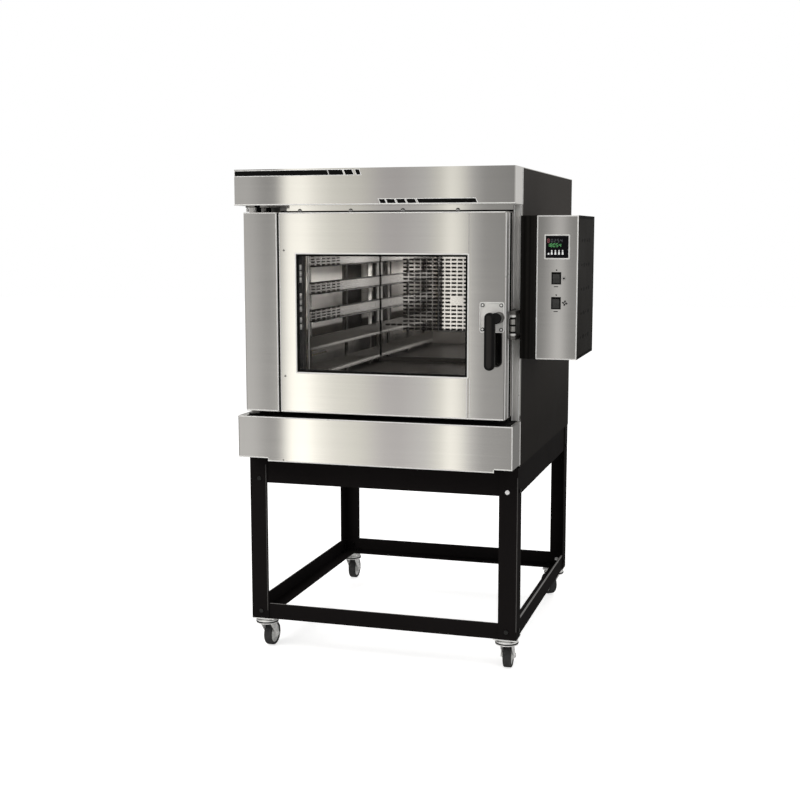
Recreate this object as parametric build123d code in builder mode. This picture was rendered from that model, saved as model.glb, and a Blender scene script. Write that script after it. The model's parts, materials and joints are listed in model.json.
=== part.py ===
from build123d import *
import os

# Free-standing bakery convection oven on a caster stand, in millimetres.
# X runs to the right seen from the front, Y runs from the front to the back, Z is up.
# The origin is on the floor, at the centre of the overall width and depth.

# Cabinet
CABINET_WIDTH = 900.0
CABINET_DEPTH = 1062.0
CABINET_HEIGHT = 924.0
PANEL_GAUGE = 2.0
STAINLESS_GAUGE = 1.5
PROJECTION = 116.0
HOOD_HEIGHT = 111.5
FASCIA_HEIGHT = 144.5
FASCIA_NOTCH_HEIGHT = 9.5
FASCIA_NOTCH_LEFT = 102.0
FASCIA_NOTCH_RIGHT = 57.0
FOLD_RADIUS = 3.0

# Stand
STAND_HEIGHT = 553.0
STAND_SETBACK = 90.0
STAND_REAR_SETBACK = 10.0
LEG_WIDTH = 60.0
LEG_GAUGE = 3.0
RAIL_GAUGE = 3.0
RAIL_FLANGE = 50.0
UPPER_RAIL_HEIGHT = 90.0
LOWER_RAIL_HEIGHT = 52.0
BOLT_RADIUS = 4.0
BOLT_HEAD_RADIUS = 7.0
BOLT_HEAD_HEIGHT = 3.5
BOLT_INSET = 33.0
UPPER_BOLT_LIFT = 14.0
BOLT_HOLE_GAP = 0.2
NUT_RADIUS = 7.0
NUT_HEIGHT = 6.0

# Casters
CASTER_HEIGHT = 112.0
CASTER_PLATE = 76.0
CASTER_PLATE_GAUGE = 3.0
CASTER_INSET = 38.0
CASTER_BOLT_PITCH = 48.0
CASTER_CUP_RADIUS = 25.0
CASTER_CUP_HEIGHT = 7.0
KING_PIN_RADIUS = 5.0
KING_PIN_HEAD_RADIUS = 9.0
KING_PIN_HEAD_HEIGHT = 3.0
CROWN_RADIUS = 37.0
CROWN_HEIGHT = 12.0
FORK_GAUGE = 3.0
FORK_SHOULDER = 25.0
FORK_FOOT_RADIUS = 10.0
WHEEL_RADIUS = 40.0
WHEEL_WIDTH = 28.0
WHEEL_HUB_RADIUS = 14.0
WHEEL_HUB_WIDTH = 34.0
WHEEL_EDGE_RADIUS = 5.0
WHEEL_TRAIL = 36.0
AXLE_RADIUS = 5.0
AXLE_HEAD_RADIUS = 8.0
AXLE_HEAD_HEIGHT = 4.0
CASTER_TURNS = {"front_left": 87.0, "front_right": 93.0, "rear_left": 90.0, "rear_right": 130.0}

# Clearances
RUNNING_GAP = 0.05
FACE_GAP = 0.3

# Door
DOOR_SETBACK = 4.0
DOOR_THICKNESS = 85.0
DOOR_INSET = 28.0
DOOR_TOP_GAP = 22.5
DOOR_BOTTOM_GAP = 17.5
COLUMN_WIDTH = 115.5
SEAM_WIDTH = 5.0
SEAM_DEPTH = 38.0
LEFT_STILE = 56.0
LATCH_STILE = 116.5
WINDOW_RAIL = 129.0
PANE_GAUGE = 5.0
PANE_MARGIN = 8.0
PANE_GAP = 0.3
PIVOT_INSET = 44.0
PIVOT_DEPTH = 41.0
PIVOT_RADIUS = 8.0
PIVOT_LENGTH = 40.0
PIVOT_COLLAR_RADIUS = 16.0
BRACKET_WIDTH = 84.0
BRACKET_INSET = -4.0
BRACKET_REACH = 96.0
BRACKET_GAUGE = 6.0
INSERT_MARGIN = 8.0

# Latch
PLATE_WIDTH = 76.0
PLATE_HEIGHT = 92.0
PLATE_GAUGE = 8.0
PLATE_CORNER = 10.0
PLATE_EDGE_RADIUS = 2.5
PLATE_MARGIN = 0.5
PLATE_SCREW_RADIUS = 4.0
PLATE_SCREW_HEIGHT = 2.0
PLATE_SCREW_INSET = 9.5
SPINDLE_INSET = 17.0
SPINDLE_HEIGHT = 313.0
SPINDLE_RADIUS = 6.0
HUB_RADIUS = 17.0
HUB_BELOW_PLATE_TOP = 46.0
HANDLE_REACH = 60.0
LEVER_WIDTH = 32.0
LEVER_LENGTH = 173.0
LEVER_DEPTH = 22.0
LEVER_OFFSET = 18.5
LEVER_EDGE = 5.0
HUB_EDGE_RADIUS = 2.0
TONGUE_GAUGE = 6.0
TONGUE_WIDTH = 14.0
TONGUE_REACH = 8.0
TONGUE_DEPTH = 43.0
TONGUE_NOSE_RADIUS = 4.0
KEEPER_HEIGHT = 87.0
KEEPER_LIFT = 18.0
KEEPER_GAUGE = 3.0
KEEPER_ARM = 10.0
KEEPER_WIDTH = 24.0
KEEPER_MARGIN = 1.0
KEEPER_REACH = 90.0
ROLLER_RADIUS = 8.0
ROLLER_PIN_RADIUS = 3.0
ROLLER_DEPTH = 36.0
ROLLER_TO_DOOR = 17.0

# Oven cavity
CAVITY_WIDTH = 700.0
CAVITY_LEFT_INSET = 150.0
CAVITY_HEIGHT = 510.0
CAVITY_LIFT = 240.0
CAVITY_DEPTH = 783.0
LINER_GAUGE = 1.5
DUCT_DEPTH = 18.0
FAN_CHAMBER = 65.0
GASKET_WIDTH = 15.0
GASKET_RADIUS = 4.0
INSULATION_TOP = 120.0
INSULATION_BOTTOM = 90.0
INSULATION_REAR = 40.0
INSULATION_GAP = 0.5

# Tray racks
RACK_INSET = 50.0
TRAY_LEVELS = 5
TRAY_PITCH = 89.0
LOWEST_TRAY = 21.0
RAIL_BAND = 40.0
RAIL_LEDGE = 20.0
RACK_GAUGE = 2.0
RACK_POST_WIDTH = 20.0
RACK_POST_GAUGE = 6.0
RACK_FRONT_GAP = 17.0
RACK_REAR_GAP = 13.0
RACK_POSTS = 3

# Air slots and openings of the liner
WALL_SLOT_LENGTH = 16.0
WALL_SLOT_HEIGHT = 5.0
WALL_SLOT_PITCH = 26.0
WALL_SLOT_COLUMNS = 11
WALL_SLOT_ROW_GAP = 16.0
WALL_SLOT_START = 40.0
RETURN_WIDTH = 200.0
RETURN_HEIGHT = 280.0
RETURN_START = 365.0
RETURN_LIFT = 130.0

# Air baffle, fan and heater
BAFFLE_WIDTH = 606.0
BAFFLE_HEIGHT = 480.0
BAFFLE_LIFT = 17.0
BAFFLE_GAUGE = 2.0
BAFFLE_SLOT_LENGTH = 16.0
BAFFLE_SLOT_HEIGHT = 5.0
BAFFLE_SLOT_PITCH = 23.6
BAFFLE_ROW_PITCH = 14.5
BAFFLE_COLUMNS = 14
BAFFLE_ROWS = 20
GRILLE_LIFT = 264.0
BAFFLE_BLANK_COLUMNS = 2
BAFFLE_BLANK_ROWS = 2
BAFFLE_BLANK_DROP = 2
STANDOFF_RADIUS = 5.0
STANDOFF_INSET = 20.0
FAN_LIFT = 237.0
FAN_RADIUS = 150.0
FAN_DEPTH = 42.0
FAN_GAUGE = 2.0
FAN_BLADES = 12
FAN_BLADE_LENGTH = 70.0
FAN_BLADE_TURN = 30.0
FAN_HUB_RADIUS = 22.0
FAN_RING_WIDTH = 24.0
FAN_BACK_GAP = 8.0
SHAFT_RADIUS = 7.0
SHAFT_SOCKET = 40.0
SHAFT_HOLE_GAP = 1.0
MOTOR_RADIUS = 55.0
MOTOR_LENGTH = 82.0
MOTOR_EDGE_RADIUS = 6.0
MOTOR_FLANGE = 124.0
MOTOR_FLANGE_GAUGE = 5.0
HEATER_RADIUS = 186.0
HEATER_TUBE_RADIUS = 5.0
HEATER_TURNS = 2
HEATER_PITCH = 16.0
HEATER_DEPTH = 26.0
LAMP_RADIUS = 34.0
LAMP_RIM = 5.0
LAMP_DEPTH = 26.0
LAMP_EDGE_RADIUS = 3.0
LAMP_FROM_FRONT = 90.0
LAMP_BELOW_ROOF = 52.0

# Control box
BOX_WIDTH = 175.0
BOX_DEPTH = 337.0
BOX_HEIGHT = 434.5
BOX_LIFT = 344.0
BOX_SETBACK = 90.0
BOX_GAUGE = 1.5
BOX_EDGE_STRIP = 50.0
FRONT_PLATE_GAUGE = 2.0
FRONT_PLATE_LIP = 10.0
VENT_RADIUS = 4.5
VENT_COLUMNS = 2
VENT_ROWS = 5
VENT_COLUMN_PITCH = 100.0
VENT_ROW_PITCH = 74.0
VENT_FROM_FRONT = 128.0
VENT_LIFT = 211.0
DISPLAY_BEZEL_WIDTH = 77.5
DISPLAY_BEZEL_HEIGHT = 75.0
DISPLAY_BEZEL_GAUGE = 5.0
DISPLAY_CORNER_RADIUS = 3.0
DISPLAY_BODY_WIDTH = 71.0
DISPLAY_BODY_HEIGHT = 68.0
DISPLAY_BODY_DEPTH = 62.0
DISPLAY_BELOW_TOP = 94.0
DISPLAY_FROM_RIGHT = 63.0
SWITCH_WIDTH = 29.0
SWITCH_HEIGHT = 37.0
SWITCH_LIP = 2.0
SWITCH_BODY_DEPTH = 32.0
SWITCH_BODY_INSET = 1.0
SWITCH_PITCH = 75.0
SWITCH_BELOW_TOP = 188.0
SWITCH_FROM_RIGHT = 64.5
ROCKER_WIDTH = 21.0
ROCKER_HEIGHT = 28.0
ROCKER_POCKET_GAP = 1.5
ROCKER_POCKET_DEPTH = 14.0
ROCKER_THICKNESS = 5.0
ROCKER_CREST = 2.0
ROCKER_TILT = 8.0
TRUNNION_RADIUS = 2.0
TRUNNION_LENGTH = 1.8
TRUNNION_DEPTH = 6.0

# Cable gland
GLAND_BORE_RADIUS = 6.5
GLAND_RADIUS = 15.0
GLAND_REACH = 12.0
GLAND_CHAMFER = 2.0
GLAND_THREAD_RADIUS = 10.0
GLAND_THREAD_LENGTH = 16.0
GLAND_INSET = 150.0
GLAND_LIFT = 75.0

# Planes and levels worked out from the sizes above
TOTAL_WIDTH = BOLT_HEAD_HEIGHT + CABINET_WIDTH + BOX_WIDTH
WHEEL_OVERHANG = WHEEL_TRAIL + WHEEL_RADIUS - CASTER_INSET - STAND_REAR_SETBACK
TOTAL_DEPTH = HANDLE_REACH + CABINET_DEPTH + max(WHEEL_OVERHANG, GLAND_REACH)
LEFT = BOLT_HEAD_HEIGHT - TOTAL_WIDTH / 2
RIGHT = LEFT + CABINET_WIDTH
FRONT = -TOTAL_DEPTH / 2 + HANDLE_REACH
REAR = FRONT + CABINET_DEPTH
BASE = CASTER_HEIGHT + STAND_HEIGHT
TOP = BASE + CABINET_HEIGHT
FACE = FRONT + PROJECTION
FASCIA_TOP = BASE + FASCIA_HEIGHT
HOOD_BOTTOM = TOP - HOOD_HEIGHT

STAND_FRONT = FRONT + STAND_SETBACK
STAND_REAR = REAR - STAND_REAR_SETBACK
UPPER_RAIL_BOTTOM = BASE - UPPER_RAIL_HEIGHT

DOOR_LEFT = LEFT + DOOR_INSET
DOOR_RIGHT = RIGHT - DOOR_INSET
DOOR_FRONT = FRONT + DOOR_SETBACK
DOOR_BACK = DOOR_FRONT + DOOR_THICKNESS
DOOR_BOTTOM = FASCIA_TOP + DOOR_BOTTOM_GAP
DOOR_TOP = HOOD_BOTTOM - DOOR_TOP_GAP
COLUMN_RIGHT = DOOR_LEFT + COLUMN_WIDTH
SKIN_LEFT = COLUMN_RIGHT + SEAM_WIDTH
WINDOW_LEFT = SKIN_LEFT + LEFT_STILE
WINDOW_RIGHT = DOOR_RIGHT - LATCH_STILE
WINDOW_BOTTOM = DOOR_BOTTOM + WINDOW_RAIL
WINDOW_TOP = DOOR_TOP - WINDOW_RAIL
PIVOT_X = DOOR_LEFT + PIVOT_INSET
PIVOT_Y = DOOR_FRONT + PIVOT_DEPTH
SPINDLE_X = DOOR_RIGHT - SPINDLE_INSET
SPINDLE_Z = DOOR_BOTTOM + SPINDLE_HEIGHT
TONGUE_Y = DOOR_FRONT + TONGUE_DEPTH

CAVITY_LEFT = LEFT + CAVITY_LEFT_INSET
CAVITY_RIGHT = CAVITY_LEFT + CAVITY_WIDTH
CAVITY_FLOOR = BASE + CAVITY_LIFT
CAVITY_ROOF = CAVITY_FLOOR + CAVITY_HEIGHT
CAVITY_FRONT = FACE + STAINLESS_GAUGE
BAFFLE_Y = CAVITY_FRONT + CAVITY_DEPTH
CHAMBER_BACK = BAFFLE_Y + FAN_CHAMBER
LINER_BACK = CHAMBER_BACK + LINER_GAUGE
FAN_X = (CAVITY_LEFT + CAVITY_RIGHT) / 2
FAN_Z = CAVITY_FLOOR + FAN_LIFT
GRILLE_Z = CAVITY_FLOOR + GRILLE_LIFT

BOX_RIGHT = RIGHT + BOX_WIDTH
BOX_FRONT = FRONT + BOX_SETBACK
BOX_BACK = BOX_FRONT + BOX_DEPTH
BOX_BOTTOM = BASE + BOX_LIFT
BOX_TOP = BOX_BOTTOM + BOX_HEIGHT
DISPLAY_X = BOX_RIGHT - DISPLAY_FROM_RIGHT
SWITCH_X = BOX_RIGHT - SWITCH_FROM_RIGHT
DISPLAY_Z = BOX_TOP - DISPLAY_BELOW_TOP
PLATE_FACE = BOX_FRONT - FRONT_PLATE_GAUGE

os.makedirs("parts", exist_ok=True)


def block(x, y, z, mode=Mode.ADD):
    """Add or cut a box given by its (low, high) limits along each axis."""
    centre = ((x[0] + x[1]) / 2, (y[0] + y[1]) / 2, (z[0] + z[1]) / 2)
    with Locations(centre):
        Box(x[1] - x[0], y[1] - y[0], z[1] - z[0], mode=mode)


def span(start, length):
    """Order a start and a signed length as a (low, high) pair."""
    return (min(start, start + length), max(start, start + length))


def around(centre, size):
    """Give the (low, high) pair of a size about a centre."""
    return (centre - size / 2, centre + size / 2)


def widened(limits, margin):
    """Push a (low, high) pair apart by a margin on both sides."""
    return (limits[0] - margin, limits[1] + margin)


def rod(start, direction, radius, length, mode=Mode.ADD):
    """Add or cut a cylinder that starts at a point and runs along a direction."""
    with BuildSketch(Plane(origin=start, z_dir=direction)) as disc:
        Circle(radius)
    extrude(disc.sketch, length, mode=mode)


def save(part, label):
    """Label one finished piece and write it."""
    part.label = label
    export_step(part, f"parts/{label}.step")


# Stand legs: steel angle, one flange to the front or back and one to the side
def leg_corner(side, end):
    """Give the outer corner of a leg and the directions of its flanges."""
    corner_x = LEFT if side == "left" else RIGHT
    corner_y = STAND_FRONT if end == "front" else STAND_REAR
    inward_x = 1 if side == "left" else -1
    inward_y = 1 if end == "front" else -1
    return corner_x, corner_y, inward_x, inward_y


LOWER_BOLT_Z = CASTER_HEIGHT + LOWER_RAIL_HEIGHT / 2
UPPER_BOLT_Z = UPPER_RAIL_BOTTOM + UPPER_BOLT_LIFT
BOLT_LEVELS = (LOWER_BOLT_Z, UPPER_BOLT_Z)
CORNERS = [(side, end) for end in ("front", "rear") for side in ("left", "right")]


def bolt_axes(side, end, level):
    """List the start point and inward direction of the two bolts of a leg at a level."""
    corner_x, corner_y, inward_x, inward_y = leg_corner(side, end)
    across = ((corner_x + BOLT_INSET * inward_x, corner_y, level), (0, inward_y, 0))
    along = ((corner_x, corner_y + BOLT_INSET * inward_y, level), (inward_x, 0, 0))
    return across, along


def caster_bolt_places(side, end):
    """List the three caster bolts of a corner that pass through the rails' flat flanges."""
    corner_x, corner_y, inward_x, inward_y = leg_corner(side, end)
    near = CASTER_INSET - CASTER_BOLT_PITCH / 2
    far = CASTER_INSET + CASTER_BOLT_PITCH / 2
    offsets = ((near, near), (far, near), (near, far))
    return [(corner_x + x * inward_x, corner_y + y * inward_y) for x, y in offsets]


BOLT_REACH = LEG_GAUGE + RAIL_GAUGE
BOLT_HOLE_RADIUS = BOLT_RADIUS + BOLT_HOLE_GAP

for side, end in CORNERS:
    corner_x, corner_y, inward_x, inward_y = leg_corner(side, end)
    with BuildPart() as leg:
        leg_z = (CASTER_HEIGHT, BASE)
        block(span(corner_x, LEG_WIDTH * inward_x), span(corner_y, LEG_GAUGE * inward_y), leg_z)
        block(span(corner_x, LEG_GAUGE * inward_x), span(corner_y, LEG_WIDTH * inward_y), leg_z)
        for level in BOLT_LEVELS:
            for start, direction in bolt_axes(side, end, level):
                rod(start, direction, BOLT_HOLE_RADIUS, BOLT_REACH, mode=Mode.SUBTRACT)
    save(leg.part, f"stand_leg_{end}_{side}")


# Stand rails: angles inside the legs, coped where they meet at the corners
def rail_levels(upper):
    """Give the limits of a rail's upright flange and of its flat flange."""
    if upper:
        return (UPPER_RAIL_BOTTOM, BASE), (BASE - RAIL_GAUGE, BASE)
    lower_top = CASTER_HEIGHT + LOWER_RAIL_HEIGHT
    return (CASTER_HEIGHT, lower_top), (CASTER_HEIGHT, CASTER_HEIGHT + RAIL_GAUGE)


for upper in (True, False):
    upright, flat = rail_levels(upper)
    coped = (upright[0], flat[0]) if upper else (flat[1], upright[1])
    level_name = "upper" if upper else "lower"
    level = UPPER_BOLT_Z if upper else LOWER_BOLT_Z
    with BuildPart() as cross_rails:
        for start, inward in ((STAND_FRONT, 1), (STAND_REAR, -1)):
            outer = start + LEG_GAUGE * inward
            across = (LEFT + LEG_GAUGE, RIGHT - LEG_GAUGE)
            block(across, span(outer, RAIL_GAUGE * inward), upright)
            block(across, span(outer, RAIL_FLANGE * inward), flat)
        for side, end in CORNERS:
            start, direction = bolt_axes(side, end, level)[0]
            rod(start, direction, BOLT_HOLE_RADIUS, BOLT_REACH, mode=Mode.SUBTRACT)
            if not upper:
                for x, y in caster_bolt_places(side, end):
                    rod((x, y, flat[0]), (0, 0, 1), BOLT_HOLE_RADIUS, RAIL_GAUGE, mode=Mode.SUBTRACT)
    save(cross_rails.part, f"stand_{level_name}_cross_rails")
    with BuildPart() as side_rails:
        for start, inward in ((LEFT, 1), (RIGHT, -1)):
            outer = start + LEG_GAUGE * inward
            reach = LEG_GAUGE + RAIL_GAUGE
            block(span(outer, RAIL_GAUGE * inward), (STAND_FRONT + reach, STAND_REAR - reach), coped)
            reach = LEG_GAUGE + RAIL_FLANGE
            block(span(outer, RAIL_FLANGE * inward), (STAND_FRONT + reach, STAND_REAR - reach), flat)
        for side, end in CORNERS:
            start, direction = bolt_axes(side, end, level)[1]
            rod(start, direction, BOLT_HOLE_RADIUS, BOLT_REACH, mode=Mode.SUBTRACT)
            if not upper:
                for x, y in caster_bolt_places(side, end):
                    rod((x, y, flat[0]), (0, 0, 1), BOLT_HOLE_RADIUS, RAIL_GAUGE, mode=Mode.SUBTRACT)
    save(side_rails.part, f"stand_{level_name}_side_rails")

def bolt(start, direction, grip):
    """Add a bolt: round head outside, shank through the grip, hexagon nut behind it."""
    rod(start, direction, BOLT_RADIUS, grip + NUT_HEIGHT + BOLT_RADIUS / 2)
    rod(start, -Vector(*direction), BOLT_HEAD_RADIUS, BOLT_HEAD_HEIGHT)
    with BuildSketch(Plane(origin=Vector(*start) + Vector(*direction) * grip, z_dir=direction)) as nut:
        RegularPolygon(NUT_RADIUS, 6)
    extrude(nut.sketch, NUT_HEIGHT)


PLATE_BOTTOM = CASTER_HEIGHT - CASTER_PLATE_GAUGE

# Bolts of the stand, and of the casters through the lower rails
with BuildPart() as stand_bolts:
    for side, end in CORNERS:
        for level in BOLT_LEVELS:
            for start, direction in bolt_axes(side, end, level):
                bolt(start, direction, BOLT_REACH)
        for x, y in caster_bolt_places(side, end):
            bolt((x, y, PLATE_BOTTOM), (0, 0, 1), CASTER_PLATE_GAUGE + RAIL_GAUGE)
save(stand_bolts.part, "stand_bolts")


# Casters
def caster_centre(side, end):
    """Give the swivel axis of a caster."""
    corner_x, corner_y, inward_x, inward_y = leg_corner(side, end)
    return corner_x + CASTER_INSET * inward_x, corner_y + CASTER_INSET * inward_y


CUP_BOTTOM = PLATE_BOTTOM - CASTER_CUP_HEIGHT
FORK_TOP = CUP_BOTTOM - FACE_GAP
FORK_TOP_UNDER = FORK_TOP - FORK_GAUGE
PIN_HEAD_TOP = FORK_TOP_UNDER - FACE_GAP

with BuildPart() as caster_plates:
    for side, end in CORNERS:
        centre_x, centre_y = caster_centre(side, end)
        plate_x = around(centre_x, CASTER_PLATE)
        plate_y = around(centre_y, CASTER_PLATE)
        block(plate_x, plate_y, (PLATE_BOTTOM, CASTER_HEIGHT))
        for x, y in caster_bolt_places(side, end):
            rod((x, y, PLATE_BOTTOM), (0, 0, 1), BOLT_HOLE_RADIUS, CASTER_PLATE_GAUGE, mode=Mode.SUBTRACT)
        rod((centre_x, centre_y, CUP_BOTTOM), (0, 0, 1), CASTER_CUP_RADIUS, CASTER_CUP_HEIGHT)
        rod((centre_x, centre_y, PIN_HEAD_TOP), (0, 0, 1), KING_PIN_RADIUS, CUP_BOTTOM - PIN_HEAD_TOP)
        head_bottom = PIN_HEAD_TOP - KING_PIN_HEAD_HEIGHT
        rod((centre_x, centre_y, head_bottom), (0, 0, 1), KING_PIN_HEAD_RADIUS, KING_PIN_HEAD_HEIGHT)
save(caster_plates.part, "caster_plates")

FORK_INNER = WHEEL_HUB_WIDTH / 2 + FACE_GAP
FORK_OUTER = FORK_INNER + FORK_GAUGE

for side, end in CORNERS:
    centre_x, centre_y = caster_centre(side, end)
    turn = CASTER_TURNS[f"{end}_{side}"]
    axle = Vector(WHEEL_TRAIL, 0).rotate(Axis.Z, turn)
    wheel_centre = (centre_x + axle.X, centre_y + axle.Y, WHEEL_RADIUS)
    wheel_plane = Plane(
        origin=(centre_x, centre_y, WHEEL_RADIUS),
        x_dir=Vector(1, 0).rotate(Axis.Z, turn),
        z_dir=Vector(0, -1).rotate(Axis.Z, turn),
    )
    with BuildPart() as fork:
        rod((centre_x, centre_y, FORK_TOP), (0, 0, -1), CROWN_RADIUS, CROWN_HEIGHT)
        fillet(fork.edges().sort_by(Axis.Z)[-1], FORK_GAUGE)
        pocket_depth = CROWN_HEIGHT - FORK_GAUGE
        pocket_start = (centre_x, centre_y, FORK_TOP_UNDER)
        rod(pocket_start, (0, 0, -1), CROWN_RADIUS - FORK_GAUGE, pocket_depth, mode=Mode.SUBTRACT)
        for inner, outward in ((FORK_INNER, 1), (-FORK_INNER, -1)):
            with BuildSketch(wheel_plane.offset(inner)) as cheek:
                rise = FORK_TOP_UNDER - WHEEL_RADIUS
                with BuildLine():
                    Polyline(
                        (-FORK_SHOULDER, rise),
                        (FORK_SHOULDER, rise),
                        (WHEEL_TRAIL + FORK_FOOT_RADIUS, 0),
                        (WHEEL_TRAIL - FORK_FOOT_RADIUS, 0),
                        close=True,
                    )
                make_face()
                with Locations((WHEEL_TRAIL, 0)):
                    Circle(FORK_FOOT_RADIUS)
                with Locations((WHEEL_TRAIL, 0)):
                    Circle(AXLE_RADIUS + BOLT_HOLE_GAP, mode=Mode.SUBTRACT)
            extrude(cheek.sketch, FORK_GAUGE * outward)
        pin_hole = KING_PIN_RADIUS + RUNNING_GAP
        rod(pocket_start, (0, 0, 1), pin_hole, FORK_GAUGE, mode=Mode.SUBTRACT)
        # Axle bolt with a head on one side and a nut on the other
        axle_start = wheel_plane.offset(-FORK_OUTER - AXLE_HEAD_HEIGHT)
        with BuildSketch(axle_start) as axle_head:
            with Locations((WHEEL_TRAIL, 0)):
                RegularPolygon(AXLE_HEAD_RADIUS, 6)
        extrude(axle_head.sketch, AXLE_HEAD_HEIGHT)
        with BuildSketch(wheel_plane.offset(FORK_OUTER)) as axle_nut:
            with Locations((WHEEL_TRAIL, 0)):
                RegularPolygon(AXLE_HEAD_RADIUS, 6)
        extrude(axle_nut.sketch, AXLE_HEAD_HEIGHT)
        with BuildSketch(wheel_plane.offset(-FORK_OUTER)) as axle_shank:
            with Locations((WHEEL_TRAIL, 0)):
                Circle(AXLE_RADIUS)
        extrude(axle_shank.sketch, 2 * FORK_OUTER)
    save(fork.part, f"caster_fork_{end}_{side}")

    with BuildPart() as wheel:
        with BuildSketch(wheel_plane.offset(-WHEEL_WIDTH / 2)) as tread:
            with Locations((WHEEL_TRAIL, 0)):
                Circle(WHEEL_RADIUS)
        extrude(tread.sketch, WHEEL_WIDTH)
        rims = wheel.edges().filter_by(GeomType.CIRCLE)
        fillet(rims, WHEEL_EDGE_RADIUS)
        with BuildSketch(wheel_plane.offset(-WHEEL_HUB_WIDTH / 2)) as hub:
            with Locations((WHEEL_TRAIL, 0)):
                Circle(WHEEL_HUB_RADIUS)
        extrude(hub.sketch, WHEEL_HUB_WIDTH)
        with BuildSketch(wheel_plane.offset(-WHEEL_HUB_WIDTH / 2)) as bore:
            with Locations((WHEEL_TRAIL, 0)):
                Circle(AXLE_RADIUS + RUNNING_GAP)
        extrude(bore.sketch, WHEEL_HUB_WIDTH, mode=Mode.SUBTRACT)
    save(wheel.part, f"caster_wheel_{end}_{side}")

# Cabinet panels
PANEL_BOTTOM = BASE + PANEL_GAUGE
PANEL_TOP = TOP - PANEL_GAUGE

with BuildPart() as base_pan:
    block((LEFT, RIGHT), (FACE, REAR), (BASE, PANEL_BOTTOM))
save(base_pan.part, "base_pan")

with BuildPart() as top_panel:
    block((LEFT, RIGHT), (FACE + STAINLESS_GAUGE, REAR), (PANEL_TOP, TOP))
save(top_panel.part, "top_panel")

with BuildPart() as left_side_panel:
    block((LEFT, LEFT + PANEL_GAUGE), (FACE + STAINLESS_GAUGE, REAR), (PANEL_BOTTOM, PANEL_TOP))
save(left_side_panel.part, "left_side_panel")

with BuildPart() as right_side_panel:
    block((RIGHT - PANEL_GAUGE, RIGHT), (FACE + STAINLESS_GAUGE, REAR), (PANEL_BOTTOM, PANEL_TOP))
save(right_side_panel.part, "right_side_panel")

GLAND_X = RIGHT - GLAND_INSET
GLAND_Z = BASE + GLAND_LIFT

with BuildPart() as rear_panel:
    block((LEFT + PANEL_GAUGE, RIGHT - PANEL_GAUGE), (REAR - PANEL_GAUGE, REAR), (PANEL_BOTTOM, PANEL_TOP))
    hole_radius = GLAND_THREAD_RADIUS + BOLT_HOLE_GAP
    rod((GLAND_X, REAR, GLAND_Z), (0, -1, 0), hole_radius, PANEL_GAUGE, mode=Mode.SUBTRACT)
save(rear_panel.part, "rear_panel")

with BuildPart() as cable_gland:
    rod((GLAND_X, REAR, GLAND_Z), (0, 1, 0), GLAND_RADIUS, GLAND_REACH)
    chamfer(cable_gland.faces().sort_by(Axis.Y)[-1].edges(), GLAND_CHAMFER)
    rod((GLAND_X, REAR, GLAND_Z), (0, -1, 0), GLAND_THREAD_RADIUS, GLAND_THREAD_LENGTH)
    bore_start = (GLAND_X, REAR + GLAND_REACH, GLAND_Z)
    bore_length = GLAND_REACH + GLAND_THREAD_LENGTH
    rod(bore_start, (0, -1, 0), GLAND_BORE_RADIUS, bore_length, mode=Mode.SUBTRACT)
save(cable_gland.part, "cable_gland")

# Front frame: stainless sheet around the cavity mouth
with BuildPart() as front_frame:
    block((LEFT, RIGHT), (FACE, CAVITY_FRONT), (PANEL_BOTTOM, TOP))
    block((CAVITY_LEFT, CAVITY_RIGHT), (FACE, CAVITY_FRONT), (CAVITY_FLOOR, CAVITY_ROOF), mode=Mode.SUBTRACT)
save(front_frame.part, "front_frame")

# Hood and lower fascia: folded stainless covers, open to the back
with BuildPart() as hood:
    block((LEFT, RIGHT), (FRONT, FACE), (HOOD_BOTTOM, TOP))
    fillet(hood.edges().filter_by(Axis.Z).group_by(Axis.Y)[0], FOLD_RADIUS)
    inner_x = (LEFT + STAINLESS_GAUGE, RIGHT - STAINLESS_GAUGE)
    inner_z = (HOOD_BOTTOM + STAINLESS_GAUGE, TOP - STAINLESS_GAUGE)
    block(inner_x, (FRONT + STAINLESS_GAUGE, FACE), inner_z, mode=Mode.SUBTRACT)
save(hood.part, "hood")

with BuildPart() as lower_fascia:
    block((LEFT, RIGHT), (FRONT, FACE), (BASE, FASCIA_TOP))
    fillet(lower_fascia.edges().filter_by(Axis.Z).group_by(Axis.Y)[0], FOLD_RADIUS)
    inner_x = (LEFT + STAINLESS_GAUGE, RIGHT - STAINLESS_GAUGE)
    inner_z = (BASE + STAINLESS_GAUGE, FASCIA_TOP - STAINLESS_GAUGE)
    block(inner_x, (FRONT + STAINLESS_GAUGE, FACE), inner_z, mode=Mode.SUBTRACT)
    notch_z = (BASE, BASE + FASCIA_NOTCH_HEIGHT)
    block((LEFT, LEFT + FASCIA_NOTCH_LEFT), (FRONT, FACE), notch_z, mode=Mode.SUBTRACT)
    block((RIGHT - FASCIA_NOTCH_RIGHT, RIGHT), (FRONT, FACE), notch_z, mode=Mode.SUBTRACT)
save(lower_fascia.part, "lower_fascia")

# Cavity liner
SHELL_X = (CAVITY_LEFT - DUCT_DEPTH, CAVITY_RIGHT + DUCT_DEPTH)

with BuildPart() as cavity_floor:
    block(SHELL_X, (CAVITY_FRONT, LINER_BACK), (CAVITY_FLOOR - LINER_GAUGE, CAVITY_FLOOR))
save(cavity_floor.part, "cavity_floor")

with BuildPart() as cavity_roof:
    block(SHELL_X, (CAVITY_FRONT, LINER_BACK), (CAVITY_ROOF, CAVITY_ROOF + LINER_GAUGE))
save(cavity_roof.part, "cavity_roof")

LAMP_Y = CAVITY_FRONT + LAMP_FROM_FRONT
LAMP_Z = CAVITY_ROOF - LAMP_BELOW_ROOF


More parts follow.
